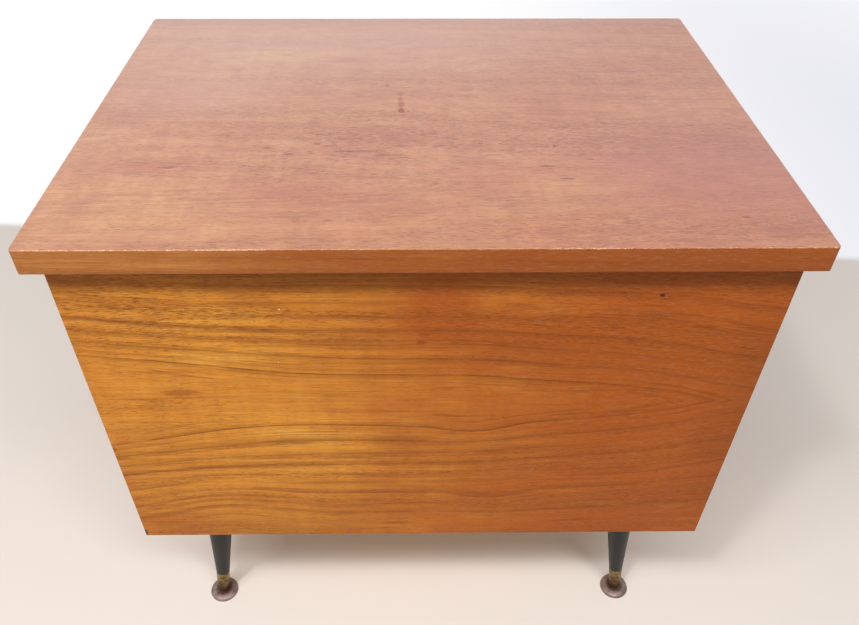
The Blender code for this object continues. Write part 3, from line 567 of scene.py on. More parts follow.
def mitred_plan(half, corner, step):
    """A board's stations: (x, 0) along its straight, and (side, angle) round each rounded corner."""
    straight = half - corner
    count = max(int(2 * straight / step), 2)
    near = [MITRE_STEP * i for i in range(1, MITRE_ROWS + 1)]
    middle = [-straight + 2 * straight * i / count for i in range(1, count)]
    ends = [-straight, *[n - straight for n in near], *[straight - n for n in near], straight]
    turns = [math.pi / 4 * i / MITRE_ROWS for i in range(1, MITRE_ROWS + 1)]
    plan = [(x, 0) for x in sorted({*ends, *middle})]
    return [(-1, a) for a in turns[::-1]] + plan + [(1, a) for a in turns]


def mitred(length, section, corner, step, wear, place):
    """A board along X with its outer face at Y = 0, carried round half of each rounded corner to the mitre.

    The section is a loop of (depth, height). Wear is a rule that gives 0 to 1 at (x, depth, height).
    """
    half = length / 2
    straight = half - corner
    form = bmesh.new()
    layer = form.verts.layers.float.new("wear")
    loops = []
    for station, angle in mitred_plan(half, corner, step):
        loop = []
        for depth, height in section:
            inner = max(depth, corner * (1 - math.cos(angle)))
            end = min(straight + corner * math.sin(angle), half - inner)
            x = station * end if angle else station / straight * min(straight, half - depth)
            worn = wear(x, depth, height)
            bite = worn * rough(x + depth, height, CHIP_SIZE) * WEAR_DEPTH
            inner += bite
            x -= math.copysign(bite, x) if half - abs(x) < 2 * corner else 0
            vert = form.verts.new((x, inner, height))
            vert[layer] = worn
            loop.append(vert)
        loops.append(loop)
    skinned(form, loops)
    bmesh.ops.transform(form, matrix=place, verts=form.verts)
    return form


def wall_section(height):
    """A wall's loop of (depth, height): outer face, top, inner face, and the rebate for the base board."""
    ease, thick = WALL_ARRIS, WALL_THICKNESS
    rows = [(0, z) for z in WALL_ROWS] + [(0, height - z) for z in WALL_ROWS[::-1]]
    loop = arc((ease, ease), ease, 1.5 * math.pi, math.pi, 3) + rows
    loop += arc((ease, height - ease), ease, math.pi, math.pi / 2, 3)
    loop += arc((thick - ease, height - ease), ease, math.pi / 2, 0, 3)
    return loop + [(thick, WALL_REBATE), (WALL_LAND, WALL_REBATE), (WALL_LAND, 0)]


def make_walls(finishes):
    """Four mitred walls, outer veneer outside and plain veneer inside."""
    middle_y = (WALL_FRONT + WALL_BACK) / 2
    width, depth = 2 * WALL_HALF_X, WALL_BACK - WALL_FRONT
    height = WALL_TOP - WALL_BOTTOM
    layout = {
        "front_panel": (width, (0, WALL_FRONT), 0),
        "back_panel": (width, (0, WALL_BACK), math.pi),
        "left_panel": (depth, (-WALL_HALF_X, middle_y), -math.pi / 2),
        "right_panel": (depth, (WALL_HALF_X, middle_y), math.pi / 2),
    }
    for name, (length, (x, y), heading) in layout.items():

        def wear(along, inward, up):
            corner = 1 - (length / 2 - abs(along)) / WALL_WEAR_REACH
            low = 1 - max(up, inward) / WALL_WEAR_REACH
            near = max(corner, low, 0) if inward < WALL_ARRIS else 0
            return near * (WALL_WEAR["least"] + WALL_WEAR["spread"] * rough(along, up, WALL_WEAR["patch"]))

        place = Matrix.Translation((x, y, WALL_BOTTOM)) @ Matrix.Rotation(heading, 4, "Z")
        form = mitred(length - MITRE_GAP, wall_section(height), WALL_ARRIS, BOARD_STEP, wear, place)
        inside = finishes["inside_side"] if name in ("left_panel", "right_panel") else finishes["inside"]
        wall = finished(name, form, finishes[name], inside)
        inward = Matrix.Rotation(heading, 3, "Z") @ Vector((0, 1, 0))
        turn_faces(wall, 1, lambda normal: normal.dot(inward) > FACING_COSINE)
        if name == "back_panel":
            cut_gain(wall)
        dress(wall, "carcase", "teak_veneer", name)


def cut_gain(piece):
    """Lets the hinge's leaf into a piece."""
    depth = LEAF_SPACING / 2 + LEAF_THICKNESS + SEAT_GAP
    low = (-HINGE_HALF - SEAT_GAP, AXIS_Y - LEAF_WIDTH - SEAT_GAP, AXIS_Z - depth)
    high = (HINGE_HALF + SEAT_GAP, AXIS_Y, AXIS_Z + depth)
    without(piece, low, high)


def lid_stations():
    """Points with outward normals round the lid's plan, closest together along the worn front."""
    half_x, half_y = LID_HALF_X - LID_CORNER, (LID_BACK - LID_FRONT) / 2 - LID_CORNER
    middle_y = (LID_FRONT + LID_BACK) / 2
    corners = [(-1, -1), (1, -1), (1, 1), (-1, 1), (-1, -1)]
    steps = [LID_STEPS[side] for side in ("front", "side", "back", "side")]
    stations = []
    for (x0, y0), (x1, y1), step in zip(corners, corners[1:], steps):
        start = Vector((x0 * half_x, middle_y + y0 * half_y))
        end = Vector((x1 * half_x, middle_y + y1 * half_y))
        along = (end - start).normalized()
        outward = Vector((along.y, -along.x))
        count = int((end - start).length / step)
        for i in range(count + 1):
            stations.append((start.lerp(end, i / count) + outward * LID_CORNER, outward))
        heading = math.atan2(outward.y, outward.x)
        for i in range(1, LID_CORNER_FACETS):
            turn = heading + math.pi / 2 * i / LID_CORNER_FACETS
            normal = Vector((math.cos(turn), math.sin(turn)))
            stations.append((end + normal * LID_CORNER, normal))
    return stations


def lid_wear(point):
    """How worn the lid's arris is at a place in plan, from 0 to 1."""
    front = max(0, 1 - (point.y - LID_FRONT) / FRONT_WEAR_WRAP)
    side = SIDE_WEAR + SIDE_WEAR_SPREAD * (rough(point.x, point.y, SIDE_WEAR_PATCH) - 0.5)
    return front * between(FRONT_WEAR, point.x) + (1 - front) * side


def make_lid_top(finishes):
    """The lid's top face out to its arris, chipped along the front."""
    form = bmesh.new()
    layer = form.verts.layers.float.new("wear")
    rows = [(0, LID_FACE), (0, LID_FACE * FACE_ROW_SHARE)]
    rows += [(LID_ARRIS * (1 - math.cos(a)), LID_ARRIS * (1 - math.sin(a))) for a in LID_ROUND_TURNS]
    rows += [(distance, 0) for distance in LID_ROWS]
    stations = lid_stations()
    loops = []
    for distance, drop in rows:
        loop = []
        for point, normal in stations:
            amount = lid_wear(point)
            near = max(0, 1 - (distance + drop) / WEAR_REACH)
            worn = amount * near
            bite = WEAR_DEPTH * worn * rough(point.x + distance, point.y + drop, LID_CHIP_SIZE)
            spot = point - normal * (distance + (bite if drop < LID_FACE else 0))
            height = LID_TOP - drop - (bite if drop < LID_FACE / 2 else 0)
            vert = form.verts.new((spot.x, spot.y, height))
            vert[layer] = worn
            loop.append(vert)
        loops.append(loop)
    skinned(form, loops)
    edges = [finishes["lid_front_lipping"], finishes["lid_left_lipping"]]
    top = finished("lid_top_face", form, finishes["lid_top"], *edges)
    turn_faces(top, 1, lambda normal: normal.z < TOP_COSINE and abs(normal.y) > abs(normal.x))
    turn_faces(top, 2, lambda normal: normal.z < TOP_COSINE and abs(normal.y) <= abs(normal.x))
    dress(top, "lid", "teak_lid", "lid_board")


def make_lid_core(finishes):
    """The board inside the lippings, seen from below when the lid is up."""
    margin = LIPPING_WIDTH + SEAT_GAP / 2
    half, front, back = LID_HALF_X - margin, LID_FRONT + margin, LID_BACK - margin
    plan = [(-half, front), (half, front), (half, back), (-half, back)]
    form = lofted([[Vector((x, y, z)) for x, y in plan] for z in (LID_BOTTOM, LID_TOP - LID_FACE)])
    foot = [edge for edge in form.edges if all(vert.co.z < LID_BOTTOM + MERGE for vert in edge.verts)]
    bmesh.ops.bevel(form, geom=foot, offset=SEAT_GAP, segments=2, profile=0.5, affect="EDGES")
    dress(finished("lid_core_board", form, finishes["inside"]), "lid", "teak_lid", "lid_board")


def lipping_section():
    """A lipping's loop of (depth, height): eased foot, face with close rows under the top, and back."""
    ease = LIPPING_ARRIS
    top = LID_TOP - LID_BOTTOM - LID_FACE
    rows = [(0, top - z) for z in LIPPING_ROWS]
    foot = arc((ease, ease), ease, 1.5 * math.pi, math.pi, 4)
    return [(LIPPING_WIDTH, 0), *foot, (0, top / 3), (0, top * 2 / 3), *rows, (LIPPING_WIDTH, top)]


def make_lippings(finishes):
    """The solid edge pieces under the lid's top face, mitred at its rounded corners."""
    middle_y = (LID_FRONT + LID_BACK) / 2
    width, depth = 2 * LID_HALF_X, LID_BACK - LID_FRONT
    layout = {
        "lid_front_lipping": (width, (0, LID_FRONT), 0),
        "lid_back_lipping": (width, (0, LID_BACK), math.pi),
        "lid_left_lipping": (depth, (-LID_HALF_X, middle_y), -math.pi / 2),
        "lid_right_lipping": (depth, (LID_HALF_X, middle_y), math.pi / 2),
    }
    height = LID_TOP - LID_BOTTOM
    for name, (length, (x, y), heading) in layout.items():
        is_front = name == "lid_front_lipping"

        def wear(along, inward, up):
            amount = between(FRONT_WEAR, along) if is_front else SIDE_WEAR
            high = amount * max(0, 1 - (height - up) / WEAR_REACH)
            chipped = FOOT_WEAR["most"] * rough(along, 0, FOOT_WEAR["patch"])
            low = chipped * max(0, 1 - (up + inward) / WALL_WEAR_REACH)
            return max(high, low) if inward < LIPPING_ARRIS else 0

        place = Matrix.Translation((x, y, LID_BOTTOM)) @ Matrix.Rotation(heading, 4, "Z")
        step = WORN_STEP if is_front else BOARD_STEP
        form = mitred(length, lipping_section(), LID_CORNER, step, wear, place)
        piece = finished(name, form, finishes[name])
        if name == "lid_back_lipping":
            cut_gain(piece)
        dress(piece, "lid", "teak_lid", name)


def make_base_and_blocks(finishes):
    """The base board and the glue blocks, their edges eased."""
    base = finished("base_board", eased("base_board", BASE_ARRIS), finishes["plywood"])
    dress(base, "carcase", "plywood", "base_board")
    for name in CORNERS:
        node = f"{name}_corner_block"
        block = finished(node, eased(node, BLOCK_ARRIS), finishes["softwood"])
        dress(block, "carcase", "softwood", node)


# Hinge and stay


def knuckle_spans(first):
    """Start and end along X of every second knuckle, from the first one given."""
    count = round(2 * HINGE_HALF / KNUCKLE_PITCH)
    starts = [-HINGE_HALF + i * KNUCKLE_PITCH + KNUCKLE_GAP / 2 for i in range(first, count, 2)]
    return [(start, start + KNUCKLE_PITCH - KNUCKLE_GAP) for start in starts]


def hinge_screw_places():
    """Where the leaf's screws stand along X, at every second knuckle, and the row they stand on."""
    step = 2 * KNUCKLE_PITCH
    count = int(2 * HINGE_HALF / step)
    row = AXIS_Y - (LEAF_NOTCH + LEAF_WIDTH) / 2
    return [((i - (count - 1) / 2) * step, row) for i in range(count)]


def leaf_form(first, above):
    """A leaf's sheet with tabs that run into its knuckles, and its countersunk holes."""
    outline = [(-HINGE_HALF, -LEAF_WIDTH), (HINGE_HALF, -LEAF_WIDTH), (HINGE_HALF, -LEAF_NOTCH)]
    tab = -(BARREL_RADIUS + BARREL_BORE) / 2
    for left, right in reversed(knuckle_spans(first)):
        outline += [(right, -LEAF_NOTCH), (right, tab), (left, tab), (left, -LEAF_NOTCH)]
    outline = list(dict.fromkeys(outline + [(-HINGE_HALF, -LEAF_NOTCH)]))
    holes = [countersunk((x, y - AXIS_Y), not above) for x, y in hinge_screw_places()]
    form = sheet(outline, holes, LEAF_THICKNESS, KNUCKLE_EDGE / 2)
    foot = LEAF_SPACING / 2 if above else -LEAF_SPACING / 2 - LEAF_THICKNESS
    bmesh.ops.translate(form, verts=form.verts, vec=(0, AXIS_Y, AXIS_Z + foot))
    return form


def group_tree(name, sizes):
    """A geometry node tree with named sockets; gives the tree, its input node and a name-to-socket table."""
    tree = bpy.data.node_groups.new(name, "GeometryNodeTree")
    tree.interface.new_socket("Geometry", in_out="OUTPUT", socket_type="NodeSocketGeometry")
    kinds = {"Geometry": "NodeSocketGeometry"}
    for label, value in sizes.items():
        kinds[label] = "NodeSocketInt" if isinstance(value, int) else "NodeSocketFloat"
    kinds["Finish"] = "NodeSocketMaterial"
    sockets = {}
    for label, kind in kinds.items():
        sockets[label] = tree.interface.new_socket(label, in_out="INPUT", socket_type=kind)
    return tree, tree.nodes.new("NodeGroupInput").outputs, sockets


def grown(name, carrier, tree, sockets, values):
    """Runs a node tree on a carrier mesh and keeps the result as a plain object."""
    obj = bpy.data.objects.new(name, carrier)
    bpy.context.scene.collection.objects.link(obj)
    modifier = obj.modifiers.new(name, "NODES")
    modifier.node_group = tree
    for label, value in values.items():
        modifier[sockets[label].identifier] = value
    mesh = bpy.data.meshes.new_from_object(obj.evaluated_get(bpy.context.evaluated_depsgraph_get()))
    obj.modifiers.remove(modifier)
    bpy.data.objects.remove(obj)
    mesh.name = name
    return shown(name, mesh)


def finish_tree(tree, inputs, points, form, turn):
    """Ends a tree: the form at every point, made real and given its finish."""
    copies = add(tree, "GeometryNodeInstanceOnPoints", {"Points": points, "Instance": form, "Rotation": turn})
    real = add(tree, "GeometryNodeRealizeInstances", {"Geometry": copies})
    done = add(tree, "GeometryNodeSetMaterial", {"Geometry": real, "Material": inputs["Finish"]})
    tree.links.new(done, tree.nodes.new("NodeGroupOutput").inputs[0])


def screw_tree(sizes):
    """Countersunk screws with a slot, one at each point, facing the point's own way and turned at random."""
    tree, inputs, sockets = group_tree("countersunk_screws", sizes)
    radii = {"Radius Top": inputs["Head Radius"], "Radius Bottom": inputs["Shank Radius"]}
    cone = {"Vertices": SCREW_SIDES, "Depth": inputs["Head Depth"], **radii}
    head = add(tree, "GeometryNodeMeshCone", cone)
    sink = add(tree, "ShaderNodeMath", [inputs["Head Depth"], -1.0], operation="MULTIPLY")
    drop = add(tree, "ShaderNodeCombineXYZ", {"Z": sink})
    head = add(tree, "GeometryNodeTransform", {"Geometry": head, "Translation": drop})
    across = add(tree, "ShaderNodeMath", [inputs["Head Radius"], CUTTER_RADII], operation="MULTIPLY")
    deep = add(tree, "ShaderNodeMath", [inputs["Slot Depth"], CUTTER_DEPTHS], operation="MULTIPLY")
    size = add(tree, "ShaderNodeCombineXYZ", {"X": across, "Y": inputs["Slot Width"], "Z": deep})
    slot = add(tree, "GeometryNodeMeshCube", {"Size": size})
    cut = add(tree, "GeometryNodeMeshBoolean", {"Mesh 1": head, "Mesh 2": slot}, operation="DIFFERENCE")
    facing = add(tree, "GeometryNodeInputNamedAttribute", {"Name": "facing"}, data_type="FLOAT_VECTOR")
    stand = add(tree, "FunctionNodeAlignRotationToVector", {"Vector": facing}, axis="Z")
    spin = {"Max": (0, 0, FULL_TURN), "Seed": inputs["Seed"]}
    twist = add(tree, "FunctionNodeRandomValue", spin, data_type="FLOAT_VECTOR")
    twist = add(tree, "FunctionNodeEulerToRotation", {"Euler": twist})
    turn = {"Rotation": stand, "Rotate By": twist}
    turn = add(tree, "FunctionNodeRotateRotation", turn, rotation_space="LOCAL")
    finish_tree(tree, inputs, inputs["Geometry"], cut, turn)
    return tree, sockets


def knuckle_tree(sizes):
    """Rolled hinge knuckles in a row: a rounded wall section swept round the pin, once for each pitch."""
    tree, inputs, sockets = group_tree("rolled_knuckles", sizes)
    radii = [inputs["Barrel Radius"], inputs["Bore Radius"]]
    total = add(tree, "ShaderNodeMath", radii, operation="ADD")
    middle = add(tree, "ShaderNodeMath", [total, 0.5], operation="MULTIPLY")
    wall = add(tree, "ShaderNodeMath", radii, operation="SUBTRACT")
    ring = {"Resolution": KNUCKLE_SIDES, "Radius": middle}
    ring = add(tree, "GeometryNodeCurvePrimitiveCircle", ring, mode="RADIUS")
    section = {"Width": wall, "Height": inputs["Knuckle Length"]}
    section = add(tree, "GeometryNodeCurvePrimitiveQuadrilateral", section, mode="RECTANGLE")
    section = {"Curve": section, "Count": 2, "Radius": inputs["Edge Radius"]}
    section = add(tree, "GeometryNodeFilletCurve", section, mode="POLY")
    knuckle = add(tree, "GeometryNodeCurveToMesh", {"Curve": ring, "Profile Curve": section})
    start = add(tree, "ShaderNodeCombineXYZ", [inputs["First"], inputs["Line Y"], inputs["Line Z"]])
    step = add(tree, "ShaderNodeCombineXYZ", {"X": inputs["Pitch"]})
    row = {"Count": inputs["Count"], "Start Location": start, "Offset": step}
    row = add(tree, "GeometryNodeMeshLine", row, mode="OFFSET")
    turn = add(tree, "FunctionNodeEulerToRotation", {"Euler": (0, math.pi / 2, 0)})
    finish_tree(tree, inputs, row, knuckle, turn)
    return tree, sockets


def make_hinge(finishes):
    """Two leaves, each a sheet and its row of knuckles, and the pin through them."""
    sizes = {"Knuckle Length": KNUCKLE_PITCH - KNUCKLE_GAP, "Barrel Radius": BARREL_RADIUS}
    sizes.update({"Bore Radius": BARREL_BORE, "Edge Radius": KNUCKLE_EDGE, "Pitch": 2 * KNUCKLE_PITCH})
    sizes.update({"Line Y": AXIS_Y, "Line Z": AXIS_Z, "First": 0.0, "Count": 0})
    tree, sockets = knuckle_tree(sizes)
    for node, body, first in (("hinge_leaf_carcase", "carcase", 0), ("hinge_leaf_lid", "lid", 1)):
        leaf = finished(node, leaf_form(first, body == "lid"), finishes["hinge_brass"])
        dress(leaf, body, "hinge_brass", node)
        spans = knuckle_spans(first)
        values = {**sizes, "First": sum(spans[0]) / 2, "Count": len(spans), "Finish": finishes["hinge_brass"]}
        knuckles = grown(f"{node}_knuckles", bpy.data.meshes.new(node), tree, sockets, values)
        dress(knuckles, body, "hinge_brass", node)
    make_hinge_pin(finishes["zinc_steel"])


def make_hinge_pin(steel):
    """The pin through all the knuckles, its ends eased."""
    edge = KNUCKLE_EDGE
    side, end = (PIN_HIGH.z - PIN_LOW.z) / 2 - edge, HINGE_HALF - edge
    left = arc((side, -end), edge, -math.pi / 2, 0, 3)
    right = arc((side, end), edge, 0, math.pi / 2, 3)
    place = Matrix.Translation((0, AXIS_Y, AXIS_Z)) @ Matrix.Rotation(math.pi / 2, 4, "Y")
    form = turned([(0, -HINGE_HALF), *left, *right, (0, HINGE_HALF)], place, HINGE_PIN_SIDES)
    dress(finished("hinge_pin", form, steel), "carcase", "zinc_steel", "hinge_pin")


def stay_points():
    """Places in the YZ plane of the arm's pivot on the lid and of the stud on the wall, lid closed."""
    pivot_angle = math.asin(STAY_PIVOT_DROP / STAY_RADIUS)
    angles = (pivot_angle, pivot_angle + STAY_CLOSED_ANGLE)
    return [Vector((AXIS_Y - STAY_RADIUS * math.cos(a), AXIS_Z - STAY_RADIUS * math.sin(a))) for a in angles]


def stay_reach(lid_angle):
    return 2 * STAY_RADIUS * math.sin((STAY_CLOSED_ANGLE + lid_angle) / 2)


def stadium(start, length, width, steps=16):
    """A bar's outline with round ends, its arcs' middles at -start and -start - length along Y."""
    upper = arc((0, -start), width / 2, 0, math.pi, steps)
    return upper + arc((0, -start - length), width / 2, math.pi, FULL_TURN, steps)


def across_place(x, y, z, lean=0):
    """Lays a sheet drawn in XY into the YZ plane, its thickness along X, and leans it about X."""
    lay = Matrix(((0, 0, 1, 0), (1, 0, 0, 0), (0, 1, 0, 0), (0, 0, 0, 1)))
    return Matrix.Translation((x, y, z)) @ Matrix.Rotation(lean, 4, "X") @ lay


def make_stay(finishes):
    """The slotted arm, its rivet and bracket on the lid, and the shouldered stud on its wall plate."""
    brass = finishes["stay_brass"]
    pivot, stud = stay_points()
    make_stay_arm(brass, pivot, stud)
    bracket = finished("stay_lid_bracket", eased("stay_lid_bracket", BRACKET_EDGE), brass)
    dress(bracket, "lid", "hinge_brass", "stay_lid_bracket")
    make_stud_plate(brass, stud)
    for name, body, profile, spot in (
        ("stay_pivot_rivet", "lid", rivet_profile(), pivot),
        ("stay_stud", "carcase", stud_profile(), stud),
    ):
        place = Matrix.Translation((INNER_X, *spot)) @ Matrix.Rotation(-math.pi / 2, 4, "Y")
        pin = finished(name, turned(profile, place, STAY_PIN_SIDES), brass)
        dress(pin, body, "hinge_brass", name)


def make_stay_arm(brass, pivot, stud):
    """The flat arm: round ends, the rivet's eye, and the slot that its stud runs in."""
    along = stud - pivot
    slot_start = stay_reach(0) - STAY_STOP_PLAY
    slot_end = stay_reach(LID_OPENING) + STAY_STOP_PLAY
    eye = circle((0, 0), STAY_EYE)[::-1]
    slot = stadium(slot_start, slot_end - slot_start, 2 * STAY_EYE)[::-1]
    outline = stadium(0, slot_end + ARM_WIDTH / 2, ARM_WIDTH)
    form = sheet(outline, [(eye, eye), (slot, slot)], ARM_THICKNESS, STAY_EDGE)
    place = across_place(INNER_X - ARM_OFFSET - ARM_THICKNESS, *pivot, math.atan2(along.x, -along.y))
    bmesh.ops.transform(form, matrix=place, verts=form.verts)
    dress(finished("stay_arm", form, brass), "stay_arm", "hinge_brass", "stay_arm")


def make_stud_plate(brass, stud):
    """The small plate on the wall that carries the stud."""
    straight = STUD_PLATE_LENGTH - STUD_PLATE_WIDTH
    bore = circle((0, 0), STAY_EYE)[::-1]
    holes = [(bore, bore), *[countersunk((0, y), False) for y in (-straight / 2, straight / 2)]]
    outline = stadium(-straight / 2, straight, STUD_PLATE_WIDTH)
    form = sheet(outline, holes, STUD_PLATE_THICKNESS, STAY_EDGE)
    place = across_place(INNER_X - SEAT_GAP - STUD_PLATE_THICKNESS, *stud)
    bmesh.ops.transform(form, matrix=place, verts=form.verts)
    dress(finished("stay_stud_plate", form, brass), "carcase", "hinge_brass", "stay_stud_plate")


def rivet_profile():
    """A shank with a domed head at each end, through the bracket and the arm."""
    near = ARM_OFFSET - SEAT_GAP - BRACKET_THICKNESS - SEAT_GAP
    head = ARM_OFFSET + ARM_THICKNESS + SEAT_GAP
    shank = [(PIN_SHANK_RADIUS, near), (PIN_SHANK_RADIUS, head)]
    return dome_points(near, -1) + shank + dome_points(head, 1)[::-1]


def stud_profile():
    """A shank out of the plate, a shoulder that the arm lies against, and a domed head."""
    foot = SEAT_GAP + STUD_PLATE_THICKNESS + SEAT_GAP
    face = ARM_OFFSET - SEAT_GAP
    head = ARM_OFFSET + ARM_THICKNESS + SEAT_GAP
    steps = [(PIN_SHANK_RADIUS, SEAT_GAP), (PIN_SHANK_RADIUS, foot), (STUD_SHOULDER_RADIUS, foot)]
    steps += [(STUD_SHOULDER_RADIUS, face), (PIN_SHANK_RADIUS, face), (PIN_SHANK_RADIUS, head)]
    return [(0, SEAT_GAP), *steps, *dome_points(head, 1)[::-1]]


def dome_points(foot, side):
    """A pin head's profile from the middle of its face to its rim, with a rounded edge."""
    edge = PIN_HEAD_HEIGHT * PIN_HEAD_EDGE_SHARE
    face = foot + side * PIN_HEAD_HEIGHT
    bend = arc((PIN_HEAD_RADIUS - edge, 0), edge, math.pi / 2, 0, 4)
    rim = [(radius, face - side * (edge - drop)) for radius, drop in bend]
    return [(0, face), *rim, (PIN_HEAD_RADIUS, foot)]


# Legs


def foot_place(corner):
    """The frame at a glide's ball: X points outwards along the diagonal, Z up."""
    low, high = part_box(f"{corner}_glide_pad")
    side_x, side_y = CORNERS[corner]
    middle = Vector(((low.x + high.x) / 2, (low.y + high.y) / 2, BALL_HEIGHT))
    return Matrix.Translation(middle) @ Matrix.Rotation(math.atan2(side_y, side_x), 4, "Z")


def plate_height():
    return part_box("front_left_leg_plate")[1].z - BALL_HEIGHT


def leg_profile():
    """The tapered leg with an eased top edge and a small shoulder over the ferrule."""
    top = plate_height() / math.cos(LEG_SPLAY) - BOSS_DROP - SEAT_GAP
    ankle = FERRULE_TOP + SEAT_GAP
    edge = arc((LEG_TOP_RADIUS - LEG_TOP_ARRIS, top - LEG_TOP_ARRIS), LEG_TOP_ARRIS, math.pi / 2, 0, 6)
    spigot = FERRULE_FOOT_RADIUS - FERRULE_WALL - SEAT_GAP
    swell, rise = LEG_TOP_RADIUS - LEG_ANKLE_RADIUS, top - LEG_TOP_ARRIS - ankle
    cone = [(LEG_ANKLE_RADIUS + swell * share, ankle + rise * share) for share in LEG_ROW_SHARES]
    foot = arc((LEG_ANKLE_RADIUS - FERRULE_LIP, ankle + FERRULE_LIP), FERRULE_LIP, 0, -math.pi / 2, 3)
    return [(0, top), *edge, *cone, *foot, (spigot, ankle), (spigot, LEG_END), (0, LEG_END)]


def ferrule_profile():
    """A drawn brass tube: its foot rolled in, its top edge turned over."""
    low, high, lip = FERRULE_FOOT_RADIUS, LEG_ANKLE_RADIUS, FERRULE_LIP
    foot = arc((low - lip, FERRULE_BOTTOM + lip), lip, -math.pi / 2, 0, 4)
    head = arc((high - lip, FERRULE_TOP - lip), lip, 0, math.pi / 2, 4)
    inner = [(high - FERRULE_WALL, FERRULE_TOP), (low - FERRULE_WALL, FERRULE_BOTTOM)]
    return [*foot, *head, *inner]


def shank_profile():
    """The glide's nail: ball, neck and flange below the leg's end, and a pointed shank inside the leg."""
    ball = arc((0, 0), BALL_RADIUS, -math.pi / 2, math.acos(NECK_RADIUS / BALL_RADIUS), 14)
    ball[0] = (0, -BALL_RADIUS)
    flange = [(NECK_RADIUS, NECK_TOP), (FLANGE_RADIUS, NECK_TOP), (FLANGE_RADIUS, FLANGE_TOP)]
    nail = [(NAIL_RADIUS, FLANGE_TOP), (NAIL_RADIUS, NAIL_SHOULDER), (0, NAIL_POINT)]
    return [*ball, *flange, *nail]


def pad_profile():
    """The glide's pad: a flat foot, a rolled rim, a dome with a pressed step, and the cup round the ball."""
    floor = -BALL_HEIGHT
    rounded = (PAD_RADIUS - PAD_RIM_ROUND, floor + PAD_RIM_ROUND)
    rim = arc(rounded, PAD_RIM_ROUND, -math.pi / 2, math.pi / 2 * PAD_RIM_TURN_SHARE, 6)
    start = (PAD_RADIUS - PAD_RIM_STEP, floor + PAD_RIM)
    run = start[0] - PAD_SHOULDER_RADIUS
    rise = -PAD_SHOULDER_DROP - start[1]
    turns = [math.pi / 2 * i / PAD_DOME_FACETS for i in range(PAD_DOME_FACETS + 1)]
    dome = [(start[0] - run * (1 - math.cos(a)), start[1] + rise * math.sin(a)) for a in turns]
    low, high = -math.asin(PAD_SHOULDER_DROP / CUP_RADIUS), math.asin(CUP_RIM / CUP_RADIUS)
    outer = arc((0, 0), CUP_RADIUS, low, high, 5)
    inner = arc((0, 0), CUP_BORE, math.asin(CUP_RIM / CUP_BORE), -math.pi / 2, 10)[:-1]
    return [(0, floor), *rim, *dome, *outer, *inner, (0, -CUP_BORE)]


def level_ring(radius, height, shift=0):
    return [Vector((shift + x, y, height)) for x, y in circle((0, 0), radius, PLATE_SIDES)]


def tilted_ring(radius, distance):
    """A circle square to the leg, a distance down the leg's line from the plate's face."""
    lean, upright = math.sin(LEG_SPLAY), math.cos(LEG_SPLAY)
    ring = level_ring(radius, 0)
    return [Vector((p.x * upright + distance * lean, p.y, p.x * lean - distance * upright)) for p in ring]


def square_ring(half, height):
    """The plate's rounded square edge, one point on each ray of the circles."""
    straight = half - PLATE_CORNER
    ring = []
    for point in level_ring(half, 0):
        ray = Vector((point.x, point.y)).normalized()
        spot = ray * half / max(abs(ray.x), abs(ray.y))
        if min(abs(spot.x), abs(spot.y)) > straight:
            corner = Vector((math.copysign(straight, ray.x), math.copysign(straight, ray.y)))
            along = ray.dot(corner)
            spot = ray * (along + math.sqrt(along**2 - corner.length_squared + PLATE_CORNER**2))
        ring.append(Vector((spot.x, spot.y, height)))
    return ring


def plate_form(place):
    """The pressed plate: rounded edges, a boss square to the leg, and the collar of its threaded hole."""
    thick, ease = PLATE_THICKNESS, PLATE_EDGE
    shift = math.tan(LEG_SPLAY) * thick
    inner = BOSS_DROP - thick
    edge = [(PLATE_HALF - ease, 0), (PLATE_HALF, -ease)]
    edge += [(PLATE_HALF, ease - thick), (PLATE_HALF - ease, -thick)]
    loops = [square_ring(*spot) for spot in edge]
    loops += [level_ring(BOSS_BASE_RADIUS + BEND_FOOT, -thick, shift)]
    loops += [level_ring(BOSS_BASE_RADIUS - BEND_EDGE, -thick - BEND_EDGE, shift)]
    boss = [(BOSS_FACE_RADIUS + BEND_EDGE, BOSS_DROP - BEND_DROP), (BOSS_FACE_RADIUS - BEND_EDGE, BOSS_DROP)]
    boss += [(BOLT_BORE, BOSS_DROP), (BOLT_BORE, inner - COLLAR_HEIGHT)]
    boss += [(COLLAR_RADIUS, inner - COLLAR_HEIGHT), (COLLAR_RADIUS, inner)]
    boss += [(BOSS_FACE_RADIUS - thick, inner)]
    loops += [tilted_ring(*spot) for spot in boss]
    loops += [level_ring(BOSS_BASE_RADIUS - thick, 0)]
    form = lofted(loops, ring=True)
    bmesh.ops.transform(form, matrix=place, verts=form.verts)
    return form


def stain(piece, to_leg, start, end):
    """Writes how stained a piece is, from 1 near the ball of its glide to 0 further off."""
    layer = piece.data.attributes.new("stain", "FLOAT", "POINT")
    for vert, value in zip(piece.data.vertices, layer.data):
        value.value = min(max((end - (to_leg @ vert.co).length) / (end - start), 0), 1)


